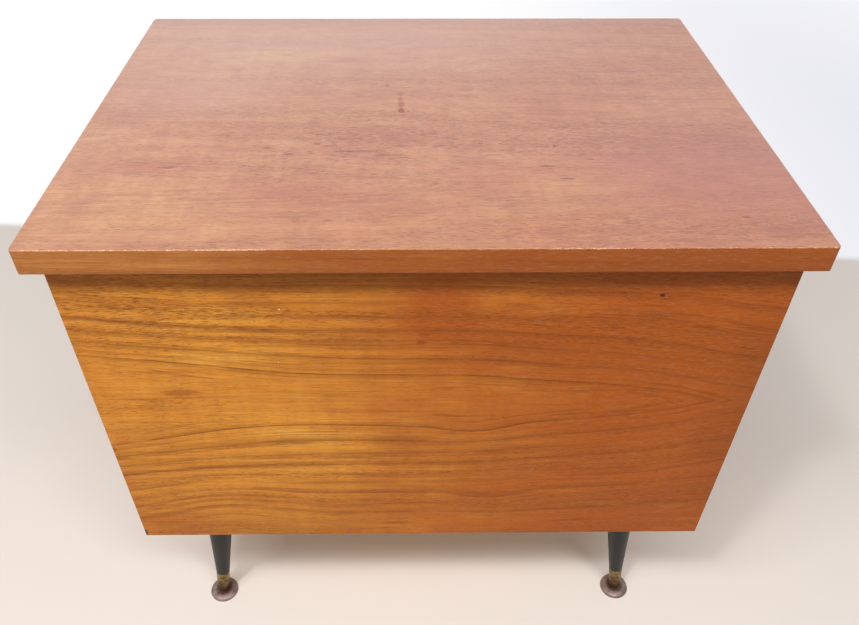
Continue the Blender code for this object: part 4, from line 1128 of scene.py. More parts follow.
def make_legs(finishes):
    """Four legs with ferrule, glide, hanger bolt and mounting plate."""
    splay = Matrix.Rotation(-LEG_SPLAY, 4, "Y")
    for corner in CORNERS:
        foot = foot_place(corner)
        axis = foot @ splay
        parts = {
            "leg": (turned(leg_profile(), axis), "ebonised_beech", "carcase"),
            "ferrule": (turned(ferrule_profile(), axis, ring=True), "aged_brass", "carcase"),
            "glide_shank": (turned(shank_profile(), axis, SHANK_SIDES), "zinc_steel", "carcase"),
            "glide_pad": (turned(pad_profile(), foot), "bronzed_steel", f"{corner}_glide"),
        }
        for part, (form, slot, body) in parts.items():
            node = f"{corner}_{part}"
            piece = finished(node, form, finishes[slot])
            if part in STAIN_REACH:
                stain(piece, axis.inverted(), *STAIN_REACH[part])
            dress(piece, body, slot, node)
        top = Vector((-math.tan(LEG_SPLAY) * plate_height(), 0, plate_height()))
        node = f"{corner}_leg_plate"
        plate = finished(node, plate_form(foot @ Matrix.Translation(top)), finishes["zinc_steel"])
        dress(plate, "carcase", "zinc_steel", node)
        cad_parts[f"{corner}_hanger_bolt"].data.materials[0] = finishes["zinc_steel"]


def plate_screw_places():
    """Where the leg plates' screws stand: four to a plate, heads down."""
    spot = PLATE_HALF - PLATE_HOLE_INSET
    places = []
    for corner in CORNERS:
        top = Vector((-math.tan(LEG_SPLAY) * plate_height(), 0, plate_height() - PLATE_THICKNESS))
        frame_there = foot_place(corner) @ Matrix.Translation(top)
        places += [frame_there @ Vector((x * spot, y * spot, 0)) for x in (-1, 1) for y in (-1, 1)]
    return places


def screw_rows():
    """For each row of screws its body, finish and slot, and a (place, facing) pair for each screw."""
    _, stud = stay_points()
    reach = (STUD_PLATE_LENGTH - STUD_PLATE_WIDTH) / 2
    low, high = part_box("stay_lid_bracket")
    flange_x, flange_y = low.x + BRACKET_FLANGE / 2, (low.y + high.y) / 2
    lift = LEAF_SPACING / 2
    up, down, inwards = (0, 0, 1), (0, 0, -1), (-1, 0, 0)
    wall_face = INNER_X - SEAT_GAP - STUD_PLATE_THICKNESS
    leaf_low = [((x, y, AXIS_Z - lift), up) for x, y in hinge_screw_places()]
    leaf_high = [((x, y, AXIS_Z + lift), down) for x, y in hinge_screw_places()]
    wall = [((wall_face, stud.x, stud.y + side * reach), inwards) for side in (-1, 1)]
    level = high.z - BRACKET_THICKNESS
    bracket = [((flange_x, flange_y + side * BRACKET_LENGTH / 4, level), down) for side in (-1, 1)]
    plates = [(tuple(spot), down) for spot in plate_screw_places()]
    return {
        "hinge_screws_carcase": ("carcase", "hinge_brass", "hinge_brass", leaf_low),
        "hinge_screws_lid": ("lid", "hinge_brass", "hinge_brass", leaf_high),
        "stay_plate_screws": ("carcase", "stay_brass", "hinge_brass", wall),
        "stay_bracket_screws": ("lid", "stay_brass", "hinge_brass", bracket),
        "leg_plate_screws": ("carcase", "zinc_steel", "zinc_steel", plates),
    }


def make_screws(finishes):
    """All countersunk screws, one mesh for each row, from one node tree."""
    sizes = {"Head Radius": SCREW_HEAD_RADIUS - SCREW_SINK, "Shank Radius": SCREW_SHANK_RADIUS}
    sizes.update({"Head Depth": SCREW_HEAD_DEPTH, "Slot Width": SCREW_SLOT_WIDTH})
    sizes.update({"Slot Depth": SCREW_SLOT_DEPTH, "Seed": SCREW_SEED})
    tree, sockets = screw_tree(sizes)
    for name, (body, finish, slot, spots) in screw_rows().items():
        carrier = bpy.data.meshes.new(name)
        carrier.from_pydata([Vector(spot) - SCREW_SINK * Vector(way) for spot, way in spots], [], [])
        facing = carrier.attributes.new("facing", "FLOAT_VECTOR", "POINT")
        for value, (_, way) in zip(facing.data, spots):
            value.vector = way
        values = {**sizes, "Finish": finishes[finish]}
        dress(grown(name, carrier, tree, sockets, values), body, slot)


# Finishes


def new_finish(name):
    material = bpy.data.materials.new(name)
    material.use_nodes = True
    return material, material.node_tree, material.node_tree.nodes["Principled BSDF"]


# How the pattern turns so that X runs along the grain and Y across it, for each way a board lies
GRAIN_TURNS = {
    "level": (0, 0, 0),
    "front": (-math.pi / 2, 0, 0),
    "side": (-math.pi / 2, -math.pi / 2, 0),
    "upright": (0, math.pi / 2, 0),
}


def grain_place(tree, turn):
    """Object coordinates in mm, turned so that X runs along the grain and Y across it on the face."""
    place = add(tree, "ShaderNodeTexCoord", {}, "Object")
    scale = (MM, MM, MM)
    return add(tree, "ShaderNodeMapping", {"Vector": place, "Rotation": GRAIN_TURNS[turn], "Scale": scale})


def drift(tree, place, name, lengths=None, seed=None):
    """A named noise from 0 to 1. Lengths and a seed are given for those that have none in the table."""
    own_lengths, own_seed, detail, harsh = NOISES[name]
    seed = own_seed if seed is None else seed
    scale = [1 / length for length in lengths or own_lengths]
    move = {"Vector": place, "Location": (seed, -seed, seed / 2), "Scale": scale}
    moved = add(tree, "ShaderNodeMapping", move)
    feeds = {"Vector": moved, "Scale": 1.0, "Detail": detail, "Roughness": harsh}
    return add(tree, "ShaderNodeTexNoise", feeds)


def patches(tree, place, spots):
    """The sum of soft oval patches, each (along, across, half length, half width, weight) in mm."""
    total = 0.0
    for x, y, length, width, weight in spots:
        shift = (-x / length, -y / width, 0)
        feeds = {"Vector": place, "Location": shift, "Scale": (1 / length, 1 / width, 0)}
        spot = add(tree, "ShaderNodeMapping", feeds)
        soft = add(tree, "ShaderNodeTexGradient", {"Vector": spot}, "Fac", gradient_type="SPHERICAL")
        soft = add(tree, "ShaderNodeMapRange", [soft], **SMOOTH)
        total = add(tree, "ShaderNodeMath", [soft, weight, total], operation="MULTIPLY_ADD")
    return total


def tinted(tree, base, value, levels, weight, tint, blend="MIX"):
    """A tint over a colour, from nothing at the first level of a value to its weight at the second."""
    share = add(tree, "ShaderNodeMapRange", [value, *levels, 0, weight], **SMOOTH)
    feeds = {SHARE: share, UNDER: base, OVER: tint}
    return add(tree, "ShaderNodeMix", feeds, MIXED, data_type="RGBA", blend_type=blend)


def growth(tree, grain, figure):
    """Distance in mm out from the veneer's pointed growth line, which waves as the tree grew."""
    parts = add(tree, "ShaderNodeSeparateXYZ", [grain]).node.outputs
    sway = drift(tree, grain, "figure sway", figure["sway lengths"], figure["seed"])
    sway = add(tree, "ShaderNodeMapRange", [sway, 0, 1, -figure["sway"], figure["sway"]])
    across = add(tree, "ShaderNodeMath", [parts[1], sway], operation="ADD")
    across = add(tree, "ShaderNodeMath", [across, figure["axis"]], operation="SUBTRACT")
    pair = add(tree, "ShaderNodeCombineXYZ", [across, figure["tip radius"]])
    out = add(tree, "ShaderNodeVectorMath", [pair], 1, operation="LENGTH")
    low, high = figure["span"]
    share = add(tree, "ShaderNodeMapRange", [parts[0], low, high])
    swell = add(tree, "ShaderNodeFloatCurve", {"Value": share})
    points = swell.node.mapping.curves[0].points
    points[0].location, points[1].location = figure["swell shares"][0], figure["swell shares"][-1]
    for spot in figure["swell shares"][1:-1]:
        points.new(*spot)
    swell.node.mapping.update()
    swell = add(tree, "ShaderNodeMapRange", [swell, 0, 1, -figure["swell"], figure["swell"]])
    fade = add(tree, "ShaderNodeMapRange", [out, *SWELL_FADE], **SMOOTH)
    line = add(tree, "ShaderNodeMath", [swell, fade, out], operation="MULTIPLY_ADD")
    humps = patches(tree, grain, figure["humps"])
    return add(tree, "ShaderNodeMath", [line, humps], operation="ADD"), parts[0]


def ring_shade(tree, rings, line, spacing):
    """Growth rings: each darkens slowly outwards and ends sharply, wider and narrower by turns."""
    pace = drift(tree, rings, "ring pace")
    pace = add(tree, "ShaderNodeMath", [pace, RING_PACE], operation="MULTIPLY")
    phase = add(tree, "ShaderNodeMath", [line, 1 / spacing, pace], operation="MULTIPLY_ADD")
    share = add(tree, "ShaderNodeMath", [phase], operation="FRACT")
    slow = add(tree, "ShaderNodeMapRange", [share, *RING_DARK_SHARES], **SMOOTH)
    edge = add(tree, "ShaderNodeMapRange", [share, *RING_END_SHARES], **SMOOTH)
    return add(tree, "ShaderNodeMath", [slow, edge], operation="MAXIMUM")


def teak_ground(tree, grain, along, look):
    """The teak's ground colour: gold and russet by clouds and laid patches, and honey where it glows."""
    cloud = drift(tree, grain, "teak clouds", seed=look["seed"])
    laid = patches(tree, grain, look["patches"])
    warmth = add(tree, "ShaderNodeMath", [cloud, look["cloud"], laid], operation="MULTIPLY_ADD")
    start, end, rise = look["fade"]
    lean = add(tree, "ShaderNodeMapRange", [along, start, end, 0, rise], **SMOOTH)
    warmth = add(tree, "ShaderNodeMath", [warmth, lean], operation="ADD")
    base = tinted(tree, look["gold"], warmth, FULL_LEVELS, 1, look["russet"])
    glow = drift(tree, grain, "teak glow", look["glow lengths"])
    laid = patches(tree, grain, look["glow patches"])
    glow = add(tree, "ShaderNodeMath", [glow, laid], operation="ADD")
    return tinted(tree, base, glow, GLOW_LEVELS, look["glow weight"], look["honey"])


def growth_rings(tree, grain, rings, line, along, look):
    """The rings' darkness: faint in places, beyond the figure's last line and towards the right."""
    shade = ring_shade(tree, rings, line, look["ring"])
    faint = drift(tree, grain, "faint rings")
    for value, step in ((faint, RINGS_FAINT), (line, RINGS_START), (line, RINGS_PLAIN), (along, RINGS_RIGHT)):
        part = add(tree, "ShaderNodeMapRange", [value, *step], **SMOOTH)
        shade = add(tree, "ShaderNodeMath", [shade, part], operation="MULTIPLY")
    return shade


def fine_lines(tree, grain, rings, look):
    """Thin broken lines along the rings, where a noise crosses its middle level."""
    lines = drift(tree, rings, "teak lines", (look["line"], LINE_LENGTH, 1))
    off = add(tree, "ShaderNodeMath", [lines, NOISE_MIDDLE], operation="SUBTRACT")
    off = add(tree, "ShaderNodeMath", [off], operation="ABSOLUTE")
    core = add(tree, "ShaderNodeMapRange", [off, *LINE_CORE], **SMOOTH)
    breaks = drift(tree, grain, "broken lines")
    return add(tree, "ShaderNodeMath", [core, breaks], operation="MULTIPLY")


def veneer(tree, grain, line, along, look):
    """Colour of a teak veneer: gold to russet and honey, with growth rings, streaks, painted shimmer and
    pores, and painted glints.
    """
    rings = add(tree, "ShaderNodeCombineXYZ", [line, along])
    bands = drift(tree, rings, "teak bands", (look["band"], BAND_LENGTH, 1))
    base = teak_ground(tree, grain, along, look)
    base = tinted(tree, base, bands, BAND_LEVELS, look["band weight"], look["brown"])
    shade = growth_rings(tree, grain, rings, line, along, look)
    base = tinted(tree, base, shade, FULL_LEVELS, look["ring weight"], look["brown"])
    # Among these tints the shimmer and the glints are painted light
    for name, levels, weight, tint in TEAK_TINTS:
        base = tinted(tree, base, drift(tree, grain, name), levels, look[weight], look[tint])
    fine = fine_lines(tree, grain, rings, look)
    base = tinted(tree, base, fine, LINE_LEVELS, look["line weight"], look["dark"])
    crowd = patches(tree, grain, look["pore patches"])
    crowd = add(tree, "ShaderNodeMath", [bands, PORE_CROWD, crowd], operation="MULTIPLY_ADD")
    pores = drift(tree, grain, "teak pores")
    dashes = add(tree, "ShaderNodeMath", [crowd, pores], operation="ADD")
    levels = (look["pore start"], look["pore start"] + PORE_SOFTNESS)
    return tinted(tree, base, dashes, levels, look["pore weight"], look["dark"])


def growth_stroke(tree, line, along, grain, place, width, weight):
    """A thin dark growth line at a distance from the figure's point, soft inside, fainter at the right."""
    signed = add(tree, "ShaderNodeMath", [line, place], operation="SUBTRACT")
    off = add(tree, "ShaderNodeMath", [signed], operation="ABSOLUTE")
    breaks = drift(tree, grain, "stroke breaks", seed=place)
    faint = add(tree, "ShaderNodeMapRange", [breaks, *STROKE_FAINT], **SMOOTH)
    right = add(tree, "ShaderNodeMapRange", [along, *STROKE_RIGHT], **SMOOTH)
    faint = add(tree, "ShaderNodeMath", [faint, right], operation="MULTIPLY")
    narrow, gentle = width * CORE_WIDTH_SHARE, weight * SOFT_WEIGHT_SHARE
    core = add(tree, "ShaderNodeMapRange", [off, narrow, width, weight, 0], **SMOOTH)
    soft = add(tree, "ShaderNodeMapRange", [signed, -SOFT_WIDTHS * width, 0, 0, gentle], **SMOOTH)
    inside = add(tree, "ShaderNodeMapRange", [signed, 0, width, 1, 0], **SMOOTH)
    soft = add(tree, "ShaderNodeMath", [soft, inside], operation="MULTIPLY")
    both = add(tree, "ShaderNodeMath", [core, soft], operation="MAXIMUM")
    return add(tree, "ShaderNodeMath", [both, faint], operation="MULTIPLY")


def with_strokes(tree, base, line, along, grain, strokes, dark):
    """Adds growth lines, each (distance out from the figure's point, width, weight) in mm."""
    for stroke in strokes:
        share = growth_stroke(tree, line, along, grain, *stroke)
        base = {SHARE: share, UNDER: base, OVER: dark}
        base = add(tree, "ShaderNodeMix", base, MIXED, data_type="RGBA")
    return base


def marked(tree, grain, base, marks):
    """Small dents and specks, each (along, across, half length, half width, weight, colour) in mm."""
    edge = drift(tree, grain, "dent edges")
    for x, y, length, width, weight, tint in marks:
        spot = patches(tree, grain, [(x, y, length, width, 1.0)])
        ragged = add(tree, "ShaderNodeMath", [spot, edge], operation="MULTIPLY")
        base = tinted(tree, base, ragged, MARK_LEVELS, weight, colour(tint))
    return base


def worn(tree, grain, base, bare, under):
    """Bare or chipped wood where the arris is worn: pale, with darker crumbs."""
    wear = add(tree, "ShaderNodeAttribute", {}, "Fac", attribute_name="wear")
    grit, crumbs = drift(tree, grain, "bare grit"), drift(tree, grain, "bare crumbs")
    lifted = add(tree, "ShaderNodeMath", [wear, WEAR_WEIGHT, grit], operation="MULTIPLY_ADD")
    mask = add(tree, "ShaderNodeMapRange", [lifted, *BARE_LEVELS], **SMOOTH)
    chipped = tinted(tree, bare, crumbs, CRUMB_LEVELS, 1, under)
    base = {SHARE: mask, UNDER: base, OVER: chipped}
    return add(tree, "ShaderNodeMix", base, MIXED, data_type="RGBA"), mask


def varnish(tree, shader, grain, base, mask, gloss):
    """A thin old varnish: satin, duller where it is worn, and sunk a little into the pores."""
    fibre, pores = drift(tree, grain, "teak fibre"), drift(tree, grain, "teak pores")
    dull = add(tree, "ShaderNodeMath", [mask, gloss["worn"], gloss["rough"]], operation="MULTIPLY_ADD")
    streak = add(tree, "ShaderNodeMath", [fibre, gloss["streak"], dull], operation="MULTIPLY_ADD")
    height = add(tree, "ShaderNodeMath", [pores, -1.0, fibre], operation="MULTIPLY_ADD")
    bump = {"Strength": gloss["bump"], "Distance": FIBRE_DEPTH, "Height": height}
    bump = add(tree, "ShaderNodeBump", bump)
    set_sockets(tree, shader, {"Base Color": base, "Roughness": streak, "Normal": bump})
    set_sockets(tree, shader, {"Specular IOR Level": gloss["shine"], "Coat Weight": gloss["coat"]})
    set_sockets(tree, shader, {"Coat Roughness": gloss["coat rough"]})


# The varnish: its roughness and what wear and fibres add to it, its bumps, and how base and coat shine
SATIN = {
    "rough": 0.40, "worn": 0.35, "streak": 0.15, "bump": 0.20, "shine": 0.12, "coat": 0.0, "coat rough": 0.25,
}

# Figures in mm: the axis, tip and sway of the pointed growth line, its swell along a span, and its humps
FRONT_FIGURE = {
    "axis": 399.0, "tip radius": 2.4, "sway": 2.0, "sway lengths": (150, 60, 60), "seed": 2.4,
    "span": (-290, 290), "swell": 60.0,
    "humps": [(-200, 238, 110, 80, 22), (-220, 452, 170, 46, -7), (-130, 362, 180, 40, 7),
              (50, 361, 60, 26, -6), (72, 255, 75, 36, -13)],
    "swell shares": [(0, 0.98), (0.06, 0.92), (0.22, 0.82), (0.42, 0.785), (0.5, 0.78), (0.58, 0.77),
                     (0.68, 0.72), (0.81, 0.655), (0.90, 0.575), (0.935, 0.525), (1, 0.46)],
}

# Looks: widths in mm, warmth by clouds and along the grain, patches as ovals, colours and tint weights
# On the front panel the gold on the left and the russet on the right, from its fade along the grain and its
# warmth patches, is partly the wood and partly painted light falling off away from the lamps on the left
FRONT_LOOK = {
    "band": 16, "line": 9, "ring": 17, "seed": 4.4, "cloud": 0.60, "fade": (-200, 220, 0.60),
    "patches": [(-190, 450, 140, 80, -0.20), (-150, 330, 150, 90, -0.45), (-60, 300, 150, 90, -0.15),
                (12, 505, 50, 60, 0.45), (-214, 413, 34, 14, 0.3), (-265, 215, 90, 50, 0.35),
                (240, 480, 130, 70, 0.25), (250, 230, 110, 60, 0.25), (110, 480, 110, 40, 0.2),
                (292, 380, 60, 230, 0.30), (-25, 350, 60, 200, 0.15), (-285, 390, 70, 60, -0.20)],
    # Darker patches: along the right edge and the foot, and one near the top that is painted shade under the
    # lid's overhang
    "grime and shade patches": [(310, 380, 90, 320, 1.0), (-140, 205, 200, 60, 0.75), (200, 200, 120, 60, 0.5),
                     (-90, 535, 150, 40, 0.6)],
    "glow lengths": (90, 12, 12), "glow weight": 0.75,
    "glow patches": [(-230, 505, 120, 50, 0.22), (-110, 352, 90, 26, 0.40), (-150, 495, 70, 20, 0.35),
                     (-165, 458, 90, 24, 0.30), (-140, 318, 120, 14, 0.25), (-150, 300, 120, 12, 0.20),
                     (-110, 395, 150, 50, 0.12),
                     (230, 400, 160, 200, -0.30), (20, 500, 90, 60, -0.30), (0, 215, 330, 40, -0.20)],
    "pore patches": [(-230, 510, 210, 90, 0.10), (-200, 380, 130, 60, 0.04), (150, 510, 220, 60, 0.06)],
    "gold": colour("e89b36"), "russet": colour("b65a18"), "honey": colour("f6b34a"),
    "brown": colour("985018"), "dark": colour("70390f"), "mottle": colour("a05a26"),
    # glint: pale painted highlights over the teak
    "glint": colour("ead8c6"),
    "band weight": 0.20, "ring weight": 0.50, "streak weight": 0.28, "shimmer weight": 0.12,
    "mottle weight": 0.12, "fibre weight": 0.33, "glint weight": 0.06, "line weight": 0.38,
    "pore start": 0.80, "pore weight": 0.62,
}

# Growth lines as (distance out from the figure's point, width, weight), and dents and specks with tints
FRONT_STROKES = [(1.0, 1.2, 0.70), (21.0, 1.8, 0.48), (39.0, 1.6, 0.40), (57.0, 1.4, 0.40),
                 (112.0, 1.8, 0.35), (136.0, 1.6, 0.18), (152.0, 2.0, 0.42)]
FRONT_MARKS = [
    (188, 522, 4.2, 3.8, 0.9, "4a2410"), (-117, 509, 2.6, 2.2, 0.6, "a85a3c"),
    (-117, 509, 1.3, 1.2, 1.0, "f4e4d0"), (-124, 450, 2.6, 2.4, 0.6, "a85a3c"),
    (-124, 450, 1.2, 1.1, 1.0, "eedccc"), (182, 318, 3.0, 2.0, 0.6, "5a3018"),
    (230, 297, 2.0, 3.0, 0.4, "6a3818"), (-292, 199, 4.0, 9.0, 0.9, "3c2a1e"),
    (-3, 472, 9.0, 5.0, 0.45, "7c3c16"), (-214, 413, 34.0, 7.0, 0.35, "8a4a1c"),
    (-245, 404, 40.0, 3.0, 0.25, "8a4a1c"), (-291, 336, 3.0, 8.0, 0.5, "6a4028"),
]

# The sides and the back, which the photograph doesn't show: the front's kind of veneer with other seeds
SIDE_FIGURE = {**FRONT_FIGURE, "axis": 360.0, "seed": 7.9, "sway": 6.0, "span": (-260, 320), "humps": []}
SIDE_LOOK = {
    **FRONT_LOOK, "seed": 9.2, "fade": (-400, 400, 0.5),
    "patches": [], "glow patches": [], "grime and shade patches": [],
}
BACK_FIGURE = {**FRONT_FIGURE, "axis": 330.0, "seed": 11.3, "sway": 7.0, "span": (-340, 400), "humps": []}

# The lid's top, sun-faded
LID_FIGURE = {
    "axis": -138.0, "tip radius": 2.0, "sway": 5.0, "sway lengths": (200, 70, 60), "seed": 5.1,
    "span": (-300, 300), "swell": 40.0, "humps": [],
    "swell shares": [(0, 0.85), (0.2, 0.78), (0.4, 0.66), (0.50, 0.55), (0.53, 0.47), (0.7, 0.30), (1, 0.2)],
}
LID_LOOK = {
    "band": 24, "line": 10, "ring": 26, "seed": 1.3, "cloud": 0.95, "fade": (-320, 300, 0.30),
    "patches": [(-225, -107, 80, 24, 0.4), (-50, -76, 150, 50, 0.12), (200, -88, 120, 40, 0.7),
                (240, 85, 60, 18, 0.7), (-75, 105, 50, 18, 0.5), (-115, -150, 70, 24, 0.4),
                (-280, -18, 40, 18, 0.5), (-130, 118, 120, 30, -0.5), (-240, 20, 70, 60, 0.3),
                (60, 100, 100, 34, -0.3), (-250, -170, 120, 60, -0.30), (275, -200, 30, 16, 0.4),
                (265, -120, 130, 110, 0.8)],
    "glow lengths": (45, 9, 9), "glow weight": 0.55,
    "glow patches": [(-130, 118, 100, 22, 0.35), (0, -215, 400, 50, 0.15), (-240, -180, 130, 70, 0.15),
                     (120, -140, 90, 20, 0.15), (0, 200, 400, 60, -0.2)],
    "pore patches": [(-40, -80, 190, 90, 0.085), (-150, -110, 170, 70, 0.045), (150, -60, 170, 90, 0.03)],
    "gold": colour("d5a47e"), "russet": colour("c1846d"), "honey": colour("dfab74"),
    "brown": colour("ac705a"), "dark": colour("70483e"), "mottle": colour("a0685c"),
    # glint: pale painted highlights over the lid
    "glint": colour("ecdcd4"),
    "band weight": 0.18, "ring weight": 0.08, "streak weight": 0.22, "shimmer weight": 0.20,
    "mottle weight": 0.35, "fibre weight": 0.32, "glint weight": 0.12, "line weight": 0.18,
    "pore start": 0.80, "pore weight": 0.60,
}
LID_STROKES = [(2.0, 0.9, 0.22), (7.0, 0.8, 0.14), (14.0, 0.8, 0.12)]
# Pale patches, strongest towards the back and at the left: partly sun-fading and partly painted sheen, the
# varnish reflecting the pale room at a grazing view
LID_FADE_AND_SHEEN_PATCHES = [(-110, 250, 560, 330, 1.0), (-230, 20, 150, 110, 0.35)]
LID_SMUDGES = [
    (260, -115, 190, 130, 0.95), (172, -96, 20, 13, 0.8), (203, 78, 24, 10, 0.7), (255, 80, 28, 10, 0.8),
    (-76, 106, 34, 14, 0.6), (-276, -18, 16, 10, 0.8), (-186, 84, 14, 8, 0.5), (168, 62, 8, 18, 0.5),
    (-112, -150, 26, 12, 0.6), (38, -78, 26, 12, 0.45), (-210, -106, 40, 12, 0.5), (268, -206, 22, 8, 0.6),
    (262, 60, 18, 8, 0.5), (-128, -38, 26, 14, 0.35), (120, 190, 110, 22, 0.25), (-20, -55, 60, 30, 0.35),
]
LID_MARKS = [
    (-19, -9, 6, 9, 0.80, "8f3830"), (-19, 3, 6, 12, 0.60, "9c463c"), (-20, 14, 5, 10, 0.50, "9c463c"),
    (-20, 26, 6, 11, 0.45, "a0523f"), (-33, 45, 5, 7, 0.50, "944638"), (-38, 56, 3, 18, 0.25, "a05a48"),
    (115, -77, 3, 3, 0.7, "5c342c"), (143, -100, 6, 3, 0.45, "70403c"), (247, -188, 6, 3, 0.55, "704036"),
    (104, -111, 14, 2.4, 0.55, "643a32"), (118, -131, 12, 2.2, 0.55, "643a32"),
    (40, -157, 16, 1.8, 0.35, "6c4036"), (-56, -85, 34, 2.6, 0.55, "64403a"),
    (-30, -92, 26, 2.2, 0.50, "64403a"), (-82, -76, 14, 2.2, 0.50, "64403a"),
    (-20, -76, 12, 2.0, 0.45, "64403a"), (-136, -79, 10, 2.4, 0.50, "64403a"),
    (-116, -90, 9, 4.0, 0.50, "644238"), (-93, -72, 7, 4.0, 0.45, "644238"),
    (60, -92, 12, 1.8, 0.40, "6c4036"),
    (-215, -112, 16, 3, 0.45, "70463c"), (-186, 80, 6, 4, 0.30, "80504a"), (160, 62, 4, 10, 0.25, "80504a"),
]

# Tones over the lid, each (levels, weight, tint): levels of its patches, or places in mm from front to back
LID_TONES = {
    # pale: partly fading and partly painted sheen, paler and rosier towards the back
    "pale": ((0, 0.9), 0.50, colour("d6b0a4")),
    "smudge": ((0.05, 0.95), 0.42, colour("a86e6c")),
    "front": ((-60, -225), 0.40, colour("eddabd"), "MULTIPLY"),
    "back": ((190, 215), 0.25, colour("b08a80")),
}


def teak_panel(name, turn, figure, look, strokes, marks, bare):
    """Oiled teak veneer, plain sawn: golden brown, with a satin sheen and dark growth lines."""
    material, tree, shader = new_finish(name)
    grain = grain_place(tree, turn)
    line, along = growth(tree, grain, figure)
    base = veneer(tree, grain, line, along, look)
    base = with_strokes(tree, base, line, along, grain, strokes, look["dark"])
    base = marked(tree, grain, base, marks)
    # Painted shade under the lid's overhang, with some grime: each wall darker towards its top
    height = add(tree, "ShaderNodeSeparateXYZ", [grain]).node.outputs[1]
    under_lid_levels = (MM * WALL_TOP - UNDER_LID_SHADE_AND_GRIME_REACH, MM * WALL_TOP)
    base = tinted(tree, base, height, under_lid_levels, UNDER_LID_SHADE_AND_GRIME_STRENGTH, look["dark"])
    # Darker patches, one of them painted shade under the lid's overhang
    grime_and_shade_patches = patches(tree, grain, look["grime and shade patches"])
    base = tinted(tree, base, grime_and_shade_patches, FULL_LEVELS, GRIME_AND_SHADE_PATCH_WEIGHT, look["dark"])
    base, mask = worn(tree, grain, base, bare, look["brown"])
    varnish(tree, shader, grain, base, mask, SATIN)
    return material


def teak_lid_top():
    """Sun-faded teak veneer under old varnish: rosy and mottled, paler towards the back partly by painted
    sheen, with short dark pores and a few stains.
    """
    material, tree, shader = new_finish("faded_teak_veneer_lid")
    grain = grain_place(tree, "level")
    line, along = growth(tree, grain, LID_FIGURE)
    base = veneer(tree, grain, line, along, LID_LOOK)
    base = with_strokes(tree, base, line, along, grain, LID_STROKES, LID_LOOK["dark"])
    base = marked(tree, grain, base, LID_MARKS)
    across = add(tree, "ShaderNodeSeparateXYZ", [grain]).node.outputs[1]
    tones = {"pale": patches(tree, grain, LID_FADE_AND_SHEEN_PATCHES), "smudge": patches(tree, grain, LID_SMUDGES)}
    tones.update({"front": across, "back": across})
    for name, value in tones.items():
        base = tinted(tree, base, value, *LID_TONES[name])
    base, mask = worn(tree, grain, base, colour("e8c29c"), colour("9c4c34"))
    varnish(tree, shader, grain, base, mask, {**SATIN, "shine": 0.3, "coat": 0.4})
    return material


# The lippings: plain straight grain, browner than the veneer
LIPPING_LOOK = {
    **FRONT_LOOK, "band": 7, "line": 4, "seed": 6.6, "patches": [(-300, 560, 200, 200, -0.8)], "cloud": 0.4,
    "fade": (-300, 40, 0.7), "gold": colour("c68444"), "russet": colour("a3541e"), "brown": colour("8f4a20"),
    "glow weight": 0.2, "glow patches": [], "ring weight": 0.2, "streak weight": 0.3, "mottle weight": 0.25,
    "pore patches": [], "line weight": 0.30, "band weight": 0.35, "fibre weight": 0.40, "pore start": 0.86,
}
LIPPING_FIGURE = {**FRONT_FIGURE, "axis": 300.0, "seed": 1.7, "sway": 2.0, "humps": []}


def teak_lipping(name, turn):
    """Solid teak lipping under old varnish: plain straight grain, browner than the veneer above it."""
    material, tree, shader = new_finish(name)
    grain = grain_place(tree, turn)
    line, along = growth(tree, grain, LIPPING_FIGURE)
    base = veneer(tree, grain, line, along, LIPPING_LOOK)
    flecks = drift(tree, grain, "lipping flecks")
    base = tinted(tree, base, flecks, LIPPING_FLECK_LEVELS, LIPPING_FLECK_WEIGHT, colour("5c2c12"))
    base, mask = worn(tree, grain, base, colour("e0b890"), colour("9a5030"))
    varnish(tree, shader, grain, base, mask, SATIN)
    return material


def plain_wood(name, turn, pale, darker, dark, cell):
    """Unfinished timber: pale, matt, with faint straight grain and fine fibres."""
    material, tree, shader = new_finish(name)
    pale, darker, dark = colour(pale), colour(darker), colour(dark)
    grain = grain_place(tree, turn)
    bands = drift(tree, grain, "plain bands", (PLAIN_BAND_LENGTH, cell, cell))
    fibre, flecks = drift(tree, grain, "plain fibre"), drift(tree, grain, "plain flecks")
    base = tinted(tree, pale, bands, PLAIN_BAND_LEVELS, 1, darker)
    base = tinted(tree, base, fibre, PLAIN_FIBRE_LEVELS, PLAIN_FIBRE_WEIGHT, dark)
    base = tinted(tree, base, flecks, FLECK_LEVELS, FLECK_WEIGHT, dark)
    bump = add(tree, "ShaderNodeBump", {"Strength": 0.3, "Distance": FIBRE_DEPTH, "Height": fibre})
    spread, least = PLAIN_ROUGH
    dull = add(tree, "ShaderNodeMath", [bands, spread, least], operation="MULTIPLY_ADD")
    set_sockets(tree, shader, {"Base Color": base, "Roughness": dull, "Normal": bump})
    set_sockets(tree, shader, {"Specular IOR Level": 0.3})
    return material


def ebonised_beech():
    """Turned beech stained black under satin lacquer: charcoal, with faint streaks along the leg."""
    material, tree, shader = new_finish("ebonised_beech")
    grain = grain_place(tree, "upright")
    streaks, flecks = drift(tree, grain, "lacquer streaks"), drift(tree, grain, "lacquer flecks")
    base = tinted(tree, colour("1c1c1a"), streaks, LACQUER_LEVELS, 1, colour("2a2927"))
    base = tinted(tree, base, flecks, FLECK_LEVELS, FLECK_WEIGHT, colour("3c3936"))
    spread, least = LACQUER_ROUGH
    dull = add(tree, "ShaderNodeMath", [streaks, spread, least], operation="MULTIPLY_ADD")
    bump = add(tree, "ShaderNodeBump", {"Strength": 0.15, "Distance": FIBRE_DEPTH, "Height": streaks})
    set_sockets(tree, shader, {"Base Color": base, "Roughness": dull, "Normal": bump})
    set_sockets(tree, shader, {"Specular IOR Level": 0.3})
    return material


